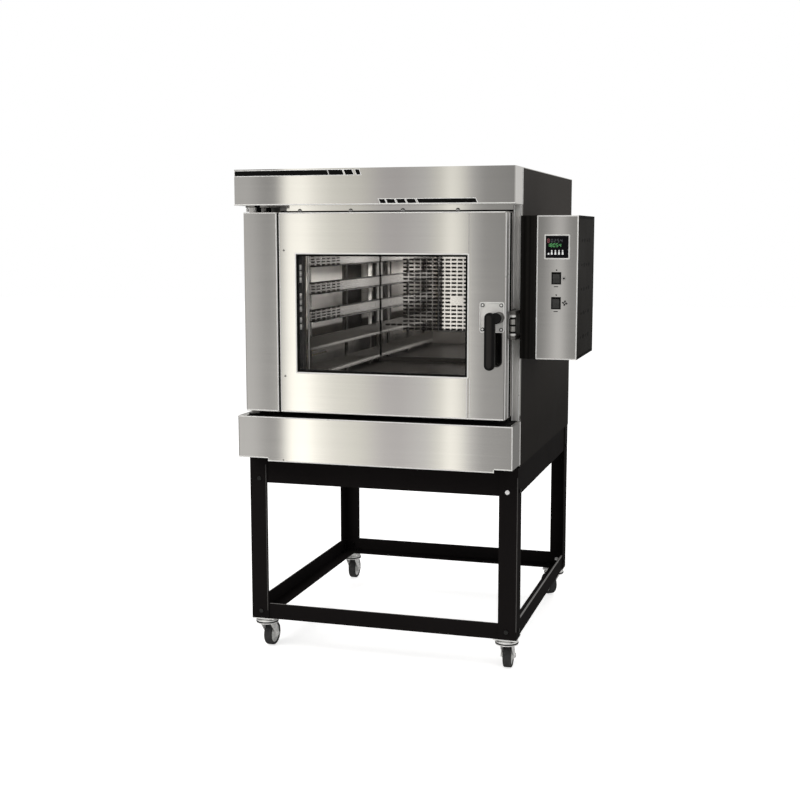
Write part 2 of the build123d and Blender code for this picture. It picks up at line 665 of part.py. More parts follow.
def slotted_wall(start_x, outward):
    """Build one side wall with its air slots and its return opening."""
    wall_x = span(start_x, LINER_GAUGE * outward)
    with BuildPart() as wall:
        block(wall_x, (CAVITY_FRONT, CHAMBER_BACK), (CAVITY_FLOOR, CAVITY_ROOF))
        return_y = CAVITY_FRONT + RETURN_START
        return_z = CAVITY_FLOOR + RETURN_LIFT
        opening_z = (return_z, return_z + RETURN_HEIGHT)
        block(wall_x, (return_y, return_y + RETURN_WIDTH), opening_z, mode=Mode.SUBTRACT)
        with BuildSketch(Plane(origin=(start_x, 0, 0), x_dir=(0, 1, 0), z_dir=(1, 0, 0))) as slots:
            for level in range(TRAY_LEVELS - 1):
                base = CAVITY_FLOOR + LOWEST_TRAY + level * TRAY_PITCH + RAIL_BAND
                for row in (1, 2):
                    row_z = base + row * WALL_SLOT_ROW_GAP
                    for column in range(WALL_SLOT_COLUMNS):
                        slot_y = CAVITY_FRONT + WALL_SLOT_START + column * WALL_SLOT_PITCH
                        with Locations((slot_y, row_z)):
                            Rectangle(WALL_SLOT_LENGTH, WALL_SLOT_HEIGHT)
        extrude(slots.sketch, LINER_GAUGE * outward, mode=Mode.SUBTRACT)
        if outward > 0:
            lamp_start = (start_x, LAMP_Y, LAMP_Z)
            rod(lamp_start, (1, 0, 0), LAMP_RADIUS - LAMP_RIM, LINER_GAUGE, mode=Mode.SUBTRACT)
    return wall.part


save(slotted_wall(CAVITY_LEFT, -1), "cavity_left_wall")
save(slotted_wall(CAVITY_RIGHT, 1), "cavity_right_wall")

with BuildPart() as cavity_back_wall:
    block(SHELL_X, (CHAMBER_BACK, LINER_BACK), (CAVITY_FLOOR, CAVITY_ROOF))
    shaft_hole = SHAFT_RADIUS + SHAFT_HOLE_GAP
    rod((FAN_X, CHAMBER_BACK, FAN_Z), (0, 1, 0), shaft_hole, LINER_GAUGE, mode=Mode.SUBTRACT)
save(cavity_back_wall.part, "cavity_back_wall")

# Oven lamp: glass lens behind a round hole in the right wall, in a short housing
with BuildPart() as oven_lamp:
    lens_start = (CAVITY_RIGHT + LINER_GAUGE, LAMP_Y, LAMP_Z)
    rod(lens_start, (1, 0, 0), LAMP_RADIUS, LAMP_DEPTH)
    fillet(oven_lamp.edges().filter_by(GeomType.CIRCLE).sort_by(Axis.X)[-1], LAMP_EDGE_RADIUS)
save(oven_lamp.part, "oven_lamp")

# Insulation slabs between the liner and the outer panels
SLAB_Y = (CAVITY_FRONT, LINER_BACK)
SLAB_TOP = CAVITY_ROOF + LINER_GAUGE + INSULATION_TOP
SLAB_BOTTOM = CAVITY_FLOOR - LINER_GAUGE - INSULATION_BOTTOM
MOTOR_HOLE = MOTOR_RADIUS + INSULATION_GAP
with BuildPart() as insulation:
    liner_z = (CAVITY_FLOOR - LINER_GAUGE, CAVITY_ROOF + LINER_GAUGE)
    block((LEFT + PANEL_GAUGE, SHELL_X[0]), SLAB_Y, liner_z)
    block((SHELL_X[1], RIGHT - PANEL_GAUGE), SLAB_Y, liner_z)
    lamp_pocket = LAMP_RADIUS + INSULATION_GAP
    lamp_start = (CAVITY_RIGHT, LAMP_Y, LAMP_Z)
    rod(lamp_start, (1, 0, 0), lamp_pocket, LINER_GAUGE + LAMP_DEPTH + INSULATION_GAP, mode=Mode.SUBTRACT)
    wide = (LEFT + PANEL_GAUGE, RIGHT - PANEL_GAUGE)
    block(wide, SLAB_Y, (liner_z[1], SLAB_TOP))
    block(wide, SLAB_Y, (SLAB_BOTTOM, liner_z[0]))
    block(wide, (LINER_BACK, LINER_BACK + INSULATION_REAR), (SLAB_BOTTOM, SLAB_TOP))
    motor_start = (FAN_X, LINER_BACK, FAN_Z)
    half = MOTOR_FLANGE / 2 + INSULATION_GAP
    flange_y = (LINER_BACK, LINER_BACK + MOTOR_FLANGE_GAUGE + INSULATION_GAP)
    block((FAN_X - half, FAN_X + half), flange_y, (FAN_Z - half, FAN_Z + half), mode=Mode.SUBTRACT)
    rod(motor_start, (0, 1, 0), MOTOR_HOLE, INSULATION_REAR, mode=Mode.SUBTRACT)
save(insulation.part, "insulation")

# Air baffle: slotted sheet in front of the fan, on four standoffs
BAFFLE_BOTTOM = CAVITY_FLOOR + BAFFLE_LIFT
BAFFLE_LEFT = FAN_X - BAFFLE_WIDTH / 2
with BuildPart() as air_baffle:
    baffle_x = (BAFFLE_LEFT, BAFFLE_LEFT + BAFFLE_WIDTH)
    baffle_z = (BAFFLE_BOTTOM, BAFFLE_BOTTOM + BAFFLE_HEIGHT)
    block(baffle_x, (BAFFLE_Y - BAFFLE_GAUGE, BAFFLE_Y), baffle_z)
    for post_x in (baffle_x[0] + STANDOFF_INSET, baffle_x[1] - STANDOFF_INSET):
        for post_z in (baffle_z[0] + STANDOFF_INSET, baffle_z[1] - STANDOFF_INSET):
            rod((post_x, BAFFLE_Y, post_z), (0, 1, 0), STANDOFF_RADIUS, FAN_CHAMBER)
    slot_plane = Plane(origin=(FAN_X, BAFFLE_Y, GRILLE_Z), x_dir=(1, 0, 0), z_dir=(0, -1, 0))
    with BuildSketch(slot_plane) as grille:
        for column in range(BAFFLE_COLUMNS):
            for row in range(BAFFLE_ROWS):
                from_middle_x = column - (BAFFLE_COLUMNS - 1) / 2
                from_middle_z = row - (BAFFLE_ROWS - 1) / 2
                blank_x = abs(from_middle_x) < BAFFLE_BLANK_COLUMNS / 2
                blank_z = abs(from_middle_z + BAFFLE_BLANK_DROP) < BAFFLE_BLANK_ROWS / 2
                if blank_x and blank_z:
                    continue
                with Locations((from_middle_x * BAFFLE_SLOT_PITCH, from_middle_z * BAFFLE_ROW_PITCH)):
                    Rectangle(BAFFLE_SLOT_LENGTH, BAFFLE_SLOT_HEIGHT)
    extrude(grille.sketch, BAFFLE_GAUGE, mode=Mode.SUBTRACT)
save(air_baffle.part, "air_baffle")

# Fan: back disc, blades, front ring and shaft in one turning piece
FAN_BACK = CHAMBER_BACK - FAN_BACK_GAP
with BuildPart() as fan_impeller:
    disc_start = (FAN_X, FAN_BACK, FAN_Z)
    rod(disc_start, (0, -1, 0), FAN_RADIUS, FAN_GAUGE)
    rod(disc_start, (0, -1, 0), FAN_HUB_RADIUS, FAN_DEPTH)
    fan_plane = Plane(origin=disc_start, x_dir=(1, 0, 0), z_dir=(0, -1, 0))
    with BuildSketch(fan_plane) as blades:
        for blade in range(FAN_BLADES):
            angle = 360 / FAN_BLADES * blade
            middle = Vector(FAN_RADIUS - FAN_BLADE_LENGTH / 2, 0).rotate(Axis.Z, angle)
            with Locations(Location((middle.X, middle.Y), angle + FAN_BLADE_TURN)):
                Rectangle(FAN_BLADE_LENGTH, FAN_GAUGE)
    extrude(blades.sketch, FAN_DEPTH)
    with BuildSketch(fan_plane.offset(FAN_DEPTH - FAN_GAUGE)) as ring:
        Circle(FAN_RADIUS)
        Circle(FAN_RADIUS - FAN_RING_WIDTH, mode=Mode.SUBTRACT)
    extrude(ring.sketch, FAN_GAUGE)
    rod(disc_start, (0, 1, 0), SHAFT_RADIUS, FAN_BACK_GAP + LINER_GAUGE + SHAFT_SOCKET)
save(fan_impeller.part, "fan_impeller")

with BuildPart() as fan_motor:
    half = MOTOR_FLANGE / 2
    flange_y = (LINER_BACK, LINER_BACK + MOTOR_FLANGE_GAUGE)
    block((FAN_X - half, FAN_X + half), flange_y, (FAN_Z - half, FAN_Z + half))
    rod((FAN_X, LINER_BACK, FAN_Z), (0, 1, 0), MOTOR_RADIUS, MOTOR_LENGTH)
    fillet(fan_motor.edges().filter_by(GeomType.CIRCLE).sort_by(Axis.Y)[-1], MOTOR_EDGE_RADIUS)
    socket = SHAFT_RADIUS + RUNNING_GAP
    rod((FAN_X, LINER_BACK, FAN_Z), (0, 1, 0), socket, SHAFT_SOCKET + FACE_GAP, mode=Mode.SUBTRACT)
save(fan_motor.part, "fan_motor")

# Heating element: tube rings around the fan, joined by a bridge and fixed by two feet
with BuildPart() as heating_element:
    for ring_index in range(HEATER_TURNS):
        ring_y = CHAMBER_BACK - HEATER_DEPTH + ring_index * HEATER_PITCH - HEATER_PITCH / 2
        with Locations(Location((FAN_X, ring_y, FAN_Z), (90, 0, 0))):
            Torus(HEATER_RADIUS, HEATER_TUBE_RADIUS)
    foot_length = HEATER_DEPTH + HEATER_PITCH / 2
    for foot_side in (-1, 1):
        foot_start = (FAN_X + foot_side * HEATER_RADIUS, CHAMBER_BACK, FAN_Z)
        rod(foot_start, (0, -1, 0), HEATER_TUBE_RADIUS, foot_length)
save(heating_element.part, "heating_element")


# Tray racks: angle rails on upright posts that stand on the cavity floor
def tray_rack(wall_x, inward):
    """Build the rack that stands by one side wall."""
    band_x = wall_x + RACK_INSET * inward
    start_y = CAVITY_FRONT + RACK_FRONT_GAP
    end_y = BAFFLE_Y - BAFFLE_GAUGE - RACK_REAR_GAP
    top = CAVITY_FLOOR + LOWEST_TRAY + (TRAY_LEVELS - 1) * TRAY_PITCH + RAIL_BAND
    with BuildPart() as rack:
        for level in range(TRAY_LEVELS):
            ledge = CAVITY_FLOOR + LOWEST_TRAY + level * TRAY_PITCH
            block(span(band_x, -RACK_GAUGE * inward), (start_y, end_y), (ledge, ledge + RAIL_BAND))
            block(span(band_x, RAIL_LEDGE * inward), (start_y, end_y), (ledge, ledge + RACK_GAUGE))
        behind = band_x - RACK_GAUGE * inward
        step = (end_y - start_y - RACK_POST_WIDTH) / (RACK_POSTS - 1)
        for post in range(RACK_POSTS):
            post_y = start_y + post * step
            post_x = span(behind, -RACK_POST_GAUGE * inward)
            block(post_x, (post_y, post_y + RACK_POST_WIDTH), (CAVITY_FLOOR, top))
            foot_x = span(behind, (RACK_GAUGE - RACK_INSET) * inward)
            block(foot_x, (post_y, post_y + RACK_POST_WIDTH), (CAVITY_FLOOR, CAVITY_FLOOR + RACK_GAUGE))
    return rack.part


save(tray_rack(CAVITY_LEFT, 1), "left_tray_rack")
save(tray_rack(CAVITY_RIGHT, -1), "right_tray_rack")

# Door gasket: soft ring on the front frame around the cavity mouth
with BuildPart() as door_gasket:
    outer_x = (CAVITY_LEFT - GASKET_WIDTH, CAVITY_RIGHT + GASKET_WIDTH)
    outer_z = (CAVITY_FLOOR - GASKET_WIDTH, CAVITY_ROOF + GASKET_WIDTH)
    gasket_y = (DOOR_BACK + FACE_GAP, FACE)
    block(outer_x, gasket_y, outer_z)
    block((CAVITY_LEFT, CAVITY_RIGHT), gasket_y, (CAVITY_FLOOR, CAVITY_ROOF), mode=Mode.SUBTRACT)
    fillet(door_gasket.faces().sort_by(Axis.Y)[0].edges(), GASKET_RADIUS)
save(door_gasket.part, "door_gasket")


# Hinge brackets: plate, collar and pivot pin above and below the door
with BuildPart() as hinge_brackets:
    bracket_x = (DOOR_LEFT + BRACKET_INSET, DOOR_LEFT + BRACKET_INSET + BRACKET_WIDTH)
    for plate_z, door_z, up in ((HOOD_BOTTOM, DOOR_TOP, -1), (FASCIA_TOP, DOOR_BOTTOM, 1)):
        gap = abs(door_z - plate_z) - BRACKET_GAUGE
        collar_start = plate_z + BRACKET_GAUGE * up
        block(bracket_x, (FACE - BRACKET_REACH, FACE), span(plate_z, BRACKET_GAUGE * up))
        block(bracket_x, (FACE - KEEPER_GAUGE, FACE), span(collar_start, gap * up))
        rod((PIVOT_X, PIVOT_Y, collar_start), (0, 0, up), PIVOT_COLLAR_RADIUS, gap - FACE_GAP)
        rod((PIVOT_X, PIVOT_Y, collar_start), (0, 0, up), PIVOT_RADIUS, gap + PIVOT_LENGTH)
    front_corners = hinge_brackets.edges().filter_by(Axis.Z).group_by(Axis.Y)[0]
    fillet(front_corners, PIVOT_COLLAR_RADIUS)
save(hinge_brackets.part, "hinge_brackets")

# Latch keeper and its roller on the front frame's right post
KEEPER_BOTTOM = SPINDLE_Z + KEEPER_LIFT - KEEPER_HEIGHT
KEEPER_TOP = KEEPER_BOTTOM + KEEPER_HEIGHT
ROLLER_X = DOOR_RIGHT + ROLLER_TO_DOOR
ROLLER_Y = FRONT + ROLLER_DEPTH
KEEPER_RIGHT = RIGHT - KEEPER_MARGIN
ARM_LEFT = ROLLER_X - KEEPER_ARM
with BuildPart() as latch_keeper:
    keeper_x = (KEEPER_RIGHT - KEEPER_WIDTH, KEEPER_RIGHT)
    block(keeper_x, (FACE - KEEPER_GAUGE, FACE), (KEEPER_BOTTOM, KEEPER_TOP))
    for arm_bottom in (KEEPER_BOTTOM, KEEPER_TOP - KEEPER_ARM):
        arm_z = (arm_bottom, arm_bottom + KEEPER_ARM)
        block((ARM_LEFT, KEEPER_RIGHT), (FACE - KEEPER_REACH, FACE), arm_z)
    fillet(latch_keeper.edges().filter_by(Axis.Z).group_by(Axis.Y)[0], ROLLER_RADIUS)
    pin_start = (ROLLER_X, ROLLER_Y, KEEPER_BOTTOM)
    rod(pin_start, (0, 0, 1), ROLLER_PIN_RADIUS, KEEPER_HEIGHT)
save(latch_keeper.part, "latch_keeper")

with BuildPart() as keeper_roller:
    roller_start = (ROLLER_X, ROLLER_Y, KEEPER_BOTTOM + KEEPER_ARM + FACE_GAP)
    roller_length = KEEPER_HEIGHT - 2 * KEEPER_ARM - 2 * FACE_GAP
    rod(roller_start, (0, 0, 1), ROLLER_RADIUS, roller_length)
    pin_hole = ROLLER_PIN_RADIUS + RUNNING_GAP
    rod(roller_start, (0, 0, 1), pin_hole, roller_length, mode=Mode.SUBTRACT)
save(keeper_roller.part, "keeper_roller")

# Door core: the frame that carries the skins, the panes and the latch
CORE_FRONT = DOOR_FRONT + STAINLESS_GAUGE
CORE_BACK = DOOR_BACK - STAINLESS_GAUGE
CORE_RIGHT = DOOR_RIGHT - STAINLESS_GAUGE
CORE_BOTTOM = DOOR_BOTTOM + STAINLESS_GAUGE
CORE_TOP = DOOR_TOP - STAINLESS_GAUGE
CORE_LEFT = SKIN_LEFT + STAINLESS_GAUGE
WINDOW_X = (WINDOW_LEFT, WINDOW_RIGHT)
WINDOW_Z = (WINDOW_BOTTOM, WINDOW_TOP)
PANE_SEAT = PANE_MARGIN + PANE_GAP
column_x = (DOOR_LEFT + STAINLESS_GAUGE, COLUMN_RIGHT - STAINLESS_GAUGE)
pocket_start = (SPINDLE_X, TONGUE_Y - FACE_GAP, SPINDLE_Z)
pocket_radius = SPINDLE_INSET + TONGUE_REACH + 2 * FACE_GAP
pocket_depth = TONGUE_GAUGE + 2 * FACE_GAP
block_half = PIVOT_RADIUS + 2 * INSERT_MARGIN
block_length = PIVOT_LENGTH + FACE_GAP + INSERT_MARGIN
pivot_x = (PIVOT_X - block_half, PIVOT_X + block_half)
pivot_y = (PIVOT_Y - block_half, PIVOT_Y + block_half)
box_half = pocket_radius + INSERT_MARGIN
latch_z = (SPINDLE_Z - box_half, SPINDLE_Z + box_half)
INSERTS = (
    (pivot_x, pivot_y, (DOOR_BOTTOM, DOOR_BOTTOM + block_length)),
    (pivot_x, pivot_y, (DOOR_TOP - block_length, DOOR_TOP)),
    ((SPINDLE_X - box_half, CORE_RIGHT), (CORE_FRONT, TONGUE_Y + TONGUE_GAUGE + INSERT_MARGIN), latch_z),
)

with BuildPart() as door_core:
    block((CORE_LEFT, CORE_RIGHT), (CORE_FRONT, CORE_BACK), (CORE_BOTTOM, CORE_TOP))
    block(WINDOW_X, (CORE_FRONT, CORE_BACK), WINDOW_Z, mode=Mode.SUBTRACT)
    for pane_y in ((CORE_FRONT, CORE_FRONT + PANE_GAUGE), (CORE_BACK - PANE_GAUGE, CORE_BACK)):
        block(widened(WINDOW_X, PANE_SEAT), pane_y, widened(WINDOW_Z, PANE_SEAT), mode=Mode.SUBTRACT)
    web_x = (COLUMN_RIGHT - STAINLESS_GAUGE, CORE_LEFT)
    block(web_x, (DOOR_FRONT + SEAM_DEPTH, CORE_BACK), (CORE_BOTTOM, CORE_TOP))
    block(column_x, (CORE_FRONT, CORE_BACK), (DOOR_BOTTOM, DOOR_TOP))
    for insert_x, insert_y, insert_z in INSERTS:
        block(insert_x, insert_y, insert_z, mode=Mode.SUBTRACT)
save(door_core.part, "door_core")

# Steel inserts of the door: a pivot block at each end of the column and the latch box
with BuildPart() as door_inserts:
    for insert_x, insert_y, insert_z in INSERTS:
        block(insert_x, insert_y, insert_z)
    bore = PIVOT_RADIUS + RUNNING_GAP
    bore_depth = PIVOT_LENGTH + FACE_GAP
    rod((PIVOT_X, PIVOT_Y, DOOR_BOTTOM), (0, 0, 1), bore, bore_depth, mode=Mode.SUBTRACT)
    rod((PIVOT_X, PIVOT_Y, DOOR_TOP), (0, 0, -1), bore, bore_depth, mode=Mode.SUBTRACT)
    spindle_hole = SPINDLE_RADIUS + RUNNING_GAP
    rod((SPINDLE_X, CORE_FRONT, SPINDLE_Z), (0, 1, 0), spindle_hole, TONGUE_DEPTH, mode=Mode.SUBTRACT)
    rod(pocket_start, (0, 1, 0), pocket_radius, pocket_depth, mode=Mode.SUBTRACT)
save(door_inserts.part, "door_inserts")

# Hinge column cover: folded sheet, open to the back
with BuildPart() as hinge_column_cover:
    block((DOOR_LEFT, COLUMN_RIGHT), (DOOR_FRONT, CORE_BACK), (DOOR_BOTTOM, DOOR_TOP))
    front_edges = hinge_column_cover.edges().filter_by(Axis.Z).group_by(Axis.Y)[0]
    fillet(front_edges, FOLD_RADIUS)
    block(column_x, (CORE_FRONT, CORE_BACK), (DOOR_BOTTOM, DOOR_TOP), mode=Mode.SUBTRACT)
    right_return = (COLUMN_RIGHT - STAINLESS_GAUGE, COLUMN_RIGHT)
    block(right_return, (DOOR_FRONT + SEAM_DEPTH, CORE_BACK), (DOOR_BOTTOM, DOOR_TOP), mode=Mode.SUBTRACT)
save(hinge_column_cover.part, "hinge_column_cover")

# Door skin: left stile and the rails above and below the window, up to the latch stile
with BuildPart() as door_skin:
    block((SKIN_LEFT, WINDOW_RIGHT), (DOOR_FRONT, CORE_BACK), (DOOR_BOTTOM, DOOR_TOP))
    block((CORE_LEFT, WINDOW_RIGHT), (CORE_FRONT, CORE_BACK), (CORE_BOTTOM, CORE_TOP), mode=Mode.SUBTRACT)
    left_return = (SKIN_LEFT, CORE_LEFT)
    block(left_return, (DOOR_FRONT + SEAM_DEPTH, CORE_BACK), (DOOR_BOTTOM, DOOR_TOP), mode=Mode.SUBTRACT)
    block(WINDOW_X, (DOOR_FRONT, CORE_FRONT), WINDOW_Z, mode=Mode.SUBTRACT)
save(door_skin.part, "door_skin")

# Latch stile cover: right stile with its side return and the slot for the latch tongue
with BuildPart() as latch_stile_cover:
    block((WINDOW_RIGHT, DOOR_RIGHT), (DOOR_FRONT, CORE_BACK), (DOOR_BOTTOM, DOOR_TOP))
    stile_edges = latch_stile_cover.edges().filter_by(Axis.Z).group_by(Axis.Y)[0]
    fillet(stile_edges.sort_by(Axis.X)[-1], FOLD_RADIUS)
    block((WINDOW_RIGHT, CORE_RIGHT), (CORE_FRONT, CORE_BACK), (CORE_BOTTOM, CORE_TOP), mode=Mode.SUBTRACT)
    rod((SPINDLE_X, DOOR_FRONT, SPINDLE_Z), (0, 1, 0), spindle_hole, STAINLESS_GAUGE, mode=Mode.SUBTRACT)
    rod(pocket_start, (0, 1, 0), pocket_radius, pocket_depth, mode=Mode.SUBTRACT)
save(latch_stile_cover.part, "latch_stile_cover")

# Door inner panel: sheet on the back of the door with the window cut out
with BuildPart() as door_inner_panel:
    block((DOOR_LEFT, DOOR_RIGHT), (CORE_BACK, DOOR_BACK), (DOOR_BOTTOM, DOOR_TOP))
    block(WINDOW_X, (CORE_BACK, DOOR_BACK), WINDOW_Z, mode=Mode.SUBTRACT)
save(door_inner_panel.part, "door_inner_panel")

# Window panes: one behind the skin and one behind the inner panel
with BuildPart() as window_panes:
    for pane_y in ((CORE_FRONT, CORE_FRONT + PANE_GAUGE), (CORE_BACK - PANE_GAUGE, CORE_BACK)):
        block(widened(WINDOW_X, PANE_MARGIN), pane_y, widened(WINDOW_Z, PANE_MARGIN))
save(window_panes.part, "window_panes")

# Handle plate with its corner screws
PLATE_RIGHT = DOOR_RIGHT - PLATE_MARGIN
PLATE_TOP = SPINDLE_Z + HUB_BELOW_PLATE_TOP
PLATE_CENTRE = (PLATE_RIGHT - PLATE_WIDTH / 2, DOOR_FRONT, PLATE_TOP - PLATE_HEIGHT / 2)
PLATE_PLANE = Plane(origin=PLATE_CENTRE, x_dir=(1, 0, 0), z_dir=(0, -1, 0))
SCREW_PITCH_X = PLATE_WIDTH - 2 * PLATE_SCREW_INSET
SCREW_PITCH_Z = PLATE_HEIGHT - 2 * PLATE_SCREW_INSET
with BuildPart() as handle_plate:
    with BuildSketch(PLATE_PLANE) as plate_outline:
        RectangleRounded(PLATE_WIDTH, PLATE_HEIGHT, PLATE_CORNER)
    extrude(plate_outline.sketch, PLATE_GAUGE)
    fillet(handle_plate.faces().sort_by(Axis.Y)[0].edges(), PLATE_EDGE_RADIUS)
    hole_start = (SPINDLE_X, DOOR_FRONT, SPINDLE_Z)
    rod(hole_start, (0, -1, 0), spindle_hole, PLATE_GAUGE, mode=Mode.SUBTRACT)
    with BuildSketch(PLATE_PLANE.offset(PLATE_GAUGE)) as screw_heads:
        with GridLocations(SCREW_PITCH_X, SCREW_PITCH_Z, 2, 2):
            Circle(PLATE_SCREW_RADIUS)
    extrude(screw_heads.sketch, PLATE_SCREW_HEIGHT)
    fillet(handle_plate.faces().group_by(Axis.Y)[0].edges(), PLATE_SCREW_HEIGHT / 2)
save(handle_plate.part, "handle_plate")

# Handle lever: offset grip hanging from a hub on the spindle
LEVER_FRONT = FRONT - HANDLE_REACH
HUB_BACK = DOOR_FRONT - PLATE_GAUGE - FACE_GAP
LEVER_X = SPINDLE_X - LEVER_OFFSET
LEVER_TOP = SPINDLE_Z + HUB_RADIUS
with BuildPart() as handle_lever:
    grip_centre = (LEVER_X, LEVER_FRONT, LEVER_TOP - LEVER_LENGTH / 2)
    with BuildSketch(Plane(origin=grip_centre, x_dir=(1, 0, 0), z_dir=(0, 1, 0))) as grip:
        SlotOverall(LEVER_LENGTH, LEVER_WIDTH, rotation=90)
    extrude(grip.sketch, LEVER_DEPTH)
    fillet(handle_lever.faces().filter_by(Axis.Y).edges(), LEVER_EDGE)
    rod((SPINDLE_X, HUB_BACK, SPINDLE_Z), (0, -1, 0), HUB_RADIUS, HUB_BACK - LEVER_FRONT - LEVER_EDGE)
    fillet(handle_lever.edges().filter_by(GeomType.CIRCLE).sort_by(Axis.Y)[-1], HUB_EDGE_RADIUS)
save(handle_lever.part, "handle_lever")

# Latch tongue: spindle through the door with the tongue near its end
with BuildPart() as latch_tongue:
    rod((SPINDLE_X, HUB_BACK, SPINDLE_Z), (0, 1, 0), SPINDLE_RADIUS, TONGUE_Y + TONGUE_GAUGE - HUB_BACK)
    tongue_x = (SPINDLE_X, DOOR_RIGHT + TONGUE_REACH)
    half = TONGUE_WIDTH / 2
    block(tongue_x, (TONGUE_Y, TONGUE_Y + TONGUE_GAUGE), (SPINDLE_Z - half, SPINDLE_Z + half))
    rod((SPINDLE_X, TONGUE_Y, SPINDLE_Z), (0, 1, 0), half, TONGUE_GAUGE)
    fillet(latch_tongue.edges().filter_by(Axis.Y).sort_by(Axis.X)[-2:], TONGUE_NOSE_RADIUS)
save(latch_tongue.part, "latch_tongue")

# Control box: folded shell on the cabinet's right side
SHELL_INNER_X = (RIGHT + BOX_GAUGE, BOX_RIGHT - BOX_GAUGE)
PLATE_LEFT = RIGHT + BOX_EDGE_STRIP
with BuildPart() as control_box:
    block((RIGHT, BOX_RIGHT), (BOX_FRONT, BOX_BACK), (BOX_BOTTOM, BOX_TOP))
    inner_y = (BOX_FRONT + BOX_GAUGE, BOX_BACK - BOX_GAUGE)
    block(SHELL_INNER_X, inner_y, (BOX_BOTTOM + BOX_GAUGE, BOX_TOP - BOX_GAUGE), mode=Mode.SUBTRACT)
    mouth_x = (PLATE_LEFT + FRONT_PLATE_LIP, BOX_RIGHT - FRONT_PLATE_LIP)
    mouth_z = (BOX_BOTTOM + FRONT_PLATE_LIP, BOX_TOP - FRONT_PLATE_LIP)
    block(mouth_x, (BOX_FRONT, BOX_FRONT + BOX_GAUGE), mouth_z, mode=Mode.SUBTRACT)
    vent_centre = (BOX_RIGHT, BOX_FRONT + VENT_FROM_FRONT, BOX_BOTTOM + VENT_LIFT)
    with BuildSketch(Plane(origin=vent_centre, x_dir=(0, 1, 0), z_dir=(1, 0, 0))) as vents:
        with GridLocations(VENT_COLUMN_PITCH, VENT_ROW_PITCH, VENT_COLUMNS, VENT_ROWS):
            Circle(VENT_RADIUS)
    extrude(vents.sketch, -BOX_GAUGE, mode=Mode.SUBTRACT)
save(control_box.part, "control_box")

SWITCH_LEVELS = [BOX_TOP - SWITCH_BELOW_TOP - index * SWITCH_PITCH for index in range(2)]
SWITCH_BODY_WIDTH = SWITCH_WIDTH - 2 * SWITCH_BODY_INSET
SWITCH_BODY_HEIGHT = SWITCH_HEIGHT - 2 * SWITCH_BODY_INSET

with BuildPart() as control_front_plate:
    block((PLATE_LEFT, BOX_RIGHT), (PLATE_FACE, BOX_FRONT), (BOX_BOTTOM, BOX_TOP))
    hole_y = (PLATE_FACE, BOX_FRONT)
    display_x = around(DISPLAY_X, DISPLAY_BODY_WIDTH + 2 * BOLT_HOLE_GAP)
    display_z = around(DISPLAY_Z, DISPLAY_BODY_HEIGHT + 2 * BOLT_HOLE_GAP)
    block(display_x, hole_y, display_z, mode=Mode.SUBTRACT)
    for level in SWITCH_LEVELS:
        switch_x = around(SWITCH_X, SWITCH_BODY_WIDTH + 2 * BOLT_HOLE_GAP)
        switch_z = around(level, SWITCH_BODY_HEIGHT + 2 * BOLT_HOLE_GAP)
        block(switch_x, hole_y, switch_z, mode=Mode.SUBTRACT)
save(control_front_plate.part, "control_front_plate")

# Temperature controller: bezel on the plate and body behind it
with BuildPart() as display_module:
    bezel_y = (PLATE_FACE - DISPLAY_BEZEL_GAUGE, PLATE_FACE)
    block(around(DISPLAY_X, DISPLAY_BEZEL_WIDTH), bezel_y, around(DISPLAY_Z, DISPLAY_BEZEL_HEIGHT))
    fillet(display_module.edges().filter_by(Axis.Y), DISPLAY_CORNER_RADIUS)
    body_y = (PLATE_FACE, PLATE_FACE + DISPLAY_BODY_DEPTH)
    block(around(DISPLAY_X, DISPLAY_BODY_WIDTH), body_y, around(DISPLAY_Z, DISPLAY_BODY_HEIGHT))
save(display_module.part, "display_module")

# Switch housings with pockets and pivot holes for the rockers
TRUNNION_Y = PLATE_FACE - SWITCH_LIP + TRUNNION_DEPTH
POCKET_WIDTH = ROCKER_WIDTH + 2 * FACE_GAP
POCKET_HEIGHT = ROCKER_HEIGHT + 2 * ROCKER_POCKET_GAP
with BuildPart() as switch_housings:
    for level in SWITCH_LEVELS:
        lip_y = (PLATE_FACE - SWITCH_LIP, PLATE_FACE)
        block(around(SWITCH_X, SWITCH_WIDTH), lip_y, around(level, SWITCH_HEIGHT))
        body_y = (PLATE_FACE, PLATE_FACE + SWITCH_BODY_DEPTH)
        block(around(SWITCH_X, SWITCH_BODY_WIDTH), body_y, around(level, SWITCH_BODY_HEIGHT))
        pocket_y = (PLATE_FACE - SWITCH_LIP, PLATE_FACE - SWITCH_LIP + ROCKER_POCKET_DEPTH)
        block(around(SWITCH_X, POCKET_WIDTH), pocket_y, around(level, POCKET_HEIGHT), mode=Mode.SUBTRACT)
        hole_length = ROCKER_WIDTH + 2 * TRUNNION_LENGTH + 2 * FACE_GAP
        hole_start = (SWITCH_X - hole_length / 2, TRUNNION_Y, level)
        hole_radius = TRUNNION_RADIUS + RUNNING_GAP
        rod(hole_start, (1, 0, 0), hole_radius, hole_length, mode=Mode.SUBTRACT)
save(switch_housings.part, "switch_housings")

